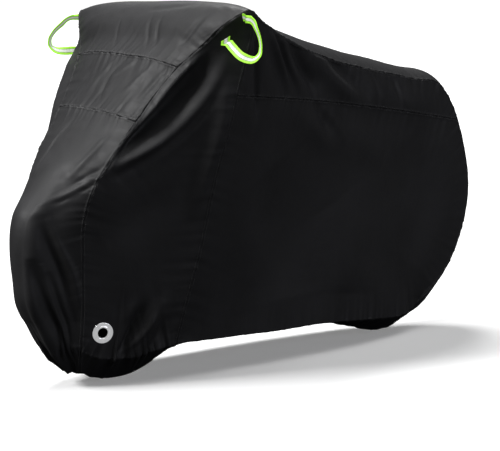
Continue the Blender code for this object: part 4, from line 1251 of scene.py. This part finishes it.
for tag, rows in (("_left", LEFT_LOOP), ("_right", RIGHT_LOOP)):
    under = [panels[name + tag] for name in ("side_front", "side_yoke")]
    loop, length = webbing_loop("loop" + tag + "_webbing", rows, under)
    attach(loop, "root")
    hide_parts("loop" + tag)
    print(loop.name, "is %.3f m of webbing" % length)

# %% [markdown]
# ## Stitches
#
# Every seam is sewn down on both sides of the joint, so two rows of stitches run along it. A dotted line in
# the material would be flat. Each stitch here is a small lozenge of thread: a point at either end, and
# between them two rings of four corners. All the stitches of a panel are one joined mesh.

# %% The shape of a stitch, and the line it follows
STITCH_PITCH = 0.0048
STITCH_LONG = 0.0034
STITCH_WIDE = 0.0013
STITCH_HIGH = 0.0006
ROW_OFF_SEAM = 0.0042
NEAR_ROWS = 30           # a row of stitches lies within this many cells of its seam
AHEAD = 0.001            # step over which a line's direction is measured
SHAPE = [(-0.5, 0, 0.0)]
for end in (-0.32, 0.32):
    SHAPE += [(end, 0.8, 0.0), (end, 0, 0.8), (end, -0.8, 0.0), (end, 0, -0.5)]
SHAPE += [(0.5, 0, 0.0)]
FACES = [(0, 2, 1), (0, 3, 2), (0, 4, 3), (0, 1, 4), (1, 2, 6, 5), (2, 3, 7, 6), (3, 4, 8, 7), (4, 1, 5, 8),
         (9, 5, 6), (9, 6, 7), (9, 7, 8), (9, 8, 5)]


def beside(panel, side, off):
    """Points and normals on the sewn cloth at a distance from one of its seams."""
    gap, grid, out = panel.gap[side], panel.grid, panel.out
    if side in ("left", "right"):
        gap, grid, out = gap.T, grid.swapaxes(0, 1), out.swapaxes(0, 1)
    if side in ("top", "right"):
        gap, grid, out = gap[::-1], grid[::-1], out[::-1]
    reach = np.maximum.accumulate(gap[:NEAR_ROWS], axis=0)
    return [np.array([[np.interp(off, reach[:, j], rows[:NEAR_ROWS, j, k]) for k in range(3)]
                      for j in range(reach.shape[1])]) for rows in (grid, out)]


# %% [markdown]
# The stitches stand along such a line, one pitch apart. Each has its own three directions: ahead along the
# seam, up from the cloth, and across.

# %% Rows of stitches
def stitches(points, normals):
    """The corners of each stitch along a line on the cloth."""
    length = lengths_along(points)
    where = (np.arange(int(length[-1] / STITCH_PITCH)) + 0.5) * STITCH_PITCH
    at, further, up = (np.stack([np.interp(spots, length, values[:, k]) for k in range(3)], -1)
                       for spots, values in ((where, points), (where + AHEAD, points), (where, normals)))
    ahead = further - at
    ahead /= np.maximum(np.linalg.norm(ahead, axis=1), TINY)[:, None]
    up -= (up * ahead).sum(1)[:, None] * ahead
    up /= np.linalg.norm(up, axis=1)[:, None]
    across = np.cross(up, ahead)
    at = at + up * CLOTH
    return np.stack([at + ahead * STITCH_LONG * a + across * STITCH_WIDE / 2 * b + up * STITCH_HIGH * c
                     for a, b, c in SHAPE], 1)


for name, panel in panels.items():
    corners = np.concatenate([stitches(*beside(panel, side, ROW_OFF_SEAM)) for side in panel.gap])
    firsts = range(0, len(corners) * len(SHAPE), len(SHAPE))
    faces = [tuple(first + corner for corner in face) for first in firsts for face in FACES]
    mesh = smooth_mesh(name + "_stitches", placed(corners).reshape(-1, 3), faces, thread_grey)
    seam = new_object(mesh.name, mesh)
    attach(seam, "root")
    print("%s: %d stitches" % (seam.name, len(corners)))

# %% [markdown]
# ## Studio
#
# The floor is a plain white sheet, which the camera sees bright and the cover hardly at all: a real studio
# would throw more light back, and a black cover would look grey from below. Its shadow is lightened in the
# same way.

# %% Floor and backdrop
BOUNCE = 0.04            # how much light the floor throws back on the cover
PAPER = 0.86             # how much the camera sees
SHADOW_LIFT = 0.22       # how light the shadow on the floor looks
WHITE = (1.0, 1.0, 1.0, 1.0)


def seen_by_camera(tree):
    return tree.nodes.new("ShaderNodeLightPath").outputs["Is Camera Ray"]


bpy.ops.mesh.primitive_plane_add(size=600.0, location=(0.0, 0.0, -float(top[2])))
floor = bpy.context.object
floor.name = "studio_floor"
paper, tree, shader = new_finish("studio_paper")
seen = seen_by_camera(tree)
fill(tree, shader, {
    "Base Color": blend(tree, seen, (BOUNCE,) * 3, (PAPER,) * 3),
    "Roughness": 0.9,
    "Specular IOR Level": 0.1,
    "Emission Color": WHITE,
    "Emission Strength": calculate(tree, "MULTIPLY", seen, SHADOW_LIFT),
})
floor.data.materials.append(paper)

world = bpy.data.worlds.new("studio")
scene.world = world
world.use_nodes = True
tree = world.node_tree
level = fill(tree, tree.nodes.new("ShaderNodeMapRange"),
             {"Value": seen_by_camera(tree), "To Min": 0.03, "To Max": 1.05})
fill(tree, tree.nodes["Background"], {"Color": WHITE, "Strength": level.outputs["Result"]})
print("floor at z = %.3f m" % floor.location.z)

# %% [markdown]
# Four soft lights stand for the studio's boxes. The two strong ones are high, on the front wheel's side and
# behind the cover, so that the front and the top catch a dull sheen while the near side stays in the shade.
# A weak, cold one fills that shade.

# %% Light
def sun(name, toward, angle, power, tint=(1.0, 1.0, 1.0)):
    """A far, soft light: "angle" is how wide it looks in the sky, in degrees."""
    lamp = bpy.data.lights.new(name, "SUN")
    lamp.angle = math.radians(angle)
    lamp.energy = power
    lamp.color = tint
    new_object(name, lamp).rotation_euler = Vector(toward).to_track_quat("Z", "Y").to_euler()


sun("key_light", (-0.73, 0.28, 0.70), 20.0, 3.1)
sun("back_light", (0.55, 0.95, 1.80), 20.0, 2.4)
sun("top_light", (0.00, -0.30, 1.00), 40.0, 0.9)
sun("fill_light", (0.30, -1.00, 0.28), 22.0, 0.42, (0.89, 0.90, 1.00))
print("lights:", len(bpy.data.lights))

# %% [markdown]
# The camera looks at the cover's left from in front, a little downward, from some five metres away.

# %% Camera
AZIMUTH = math.radians(-42.0)
LOOKS_DOWN = math.radians(7.085)
CAMERA_PLACE = np.array([-3.2359, -3.9757, 1.0643])    # in the tables' sizes

camera = new_object("camera", bpy.data.cameras.new("camera"))
camera.data.lens = 126.0
camera.data.sensor_width = 36.0
camera.data.sensor_fit = "HORIZONTAL"
camera.location = placed(CAMERA_PLACE)
level_way = math.cos(LOOKS_DOWN)
forward = Vector((-math.sin(AZIMUTH) * level_way, math.cos(AZIMUTH) * level_way, -math.sin(LOOKS_DOWN)))
camera.rotation_euler = forward.to_track_quat("-Z", "Y").to_euler()
scene.camera = camera
scene.view_settings.view_transform = "Standard"
print("camera at", [round(part, 3) for part in camera.location])
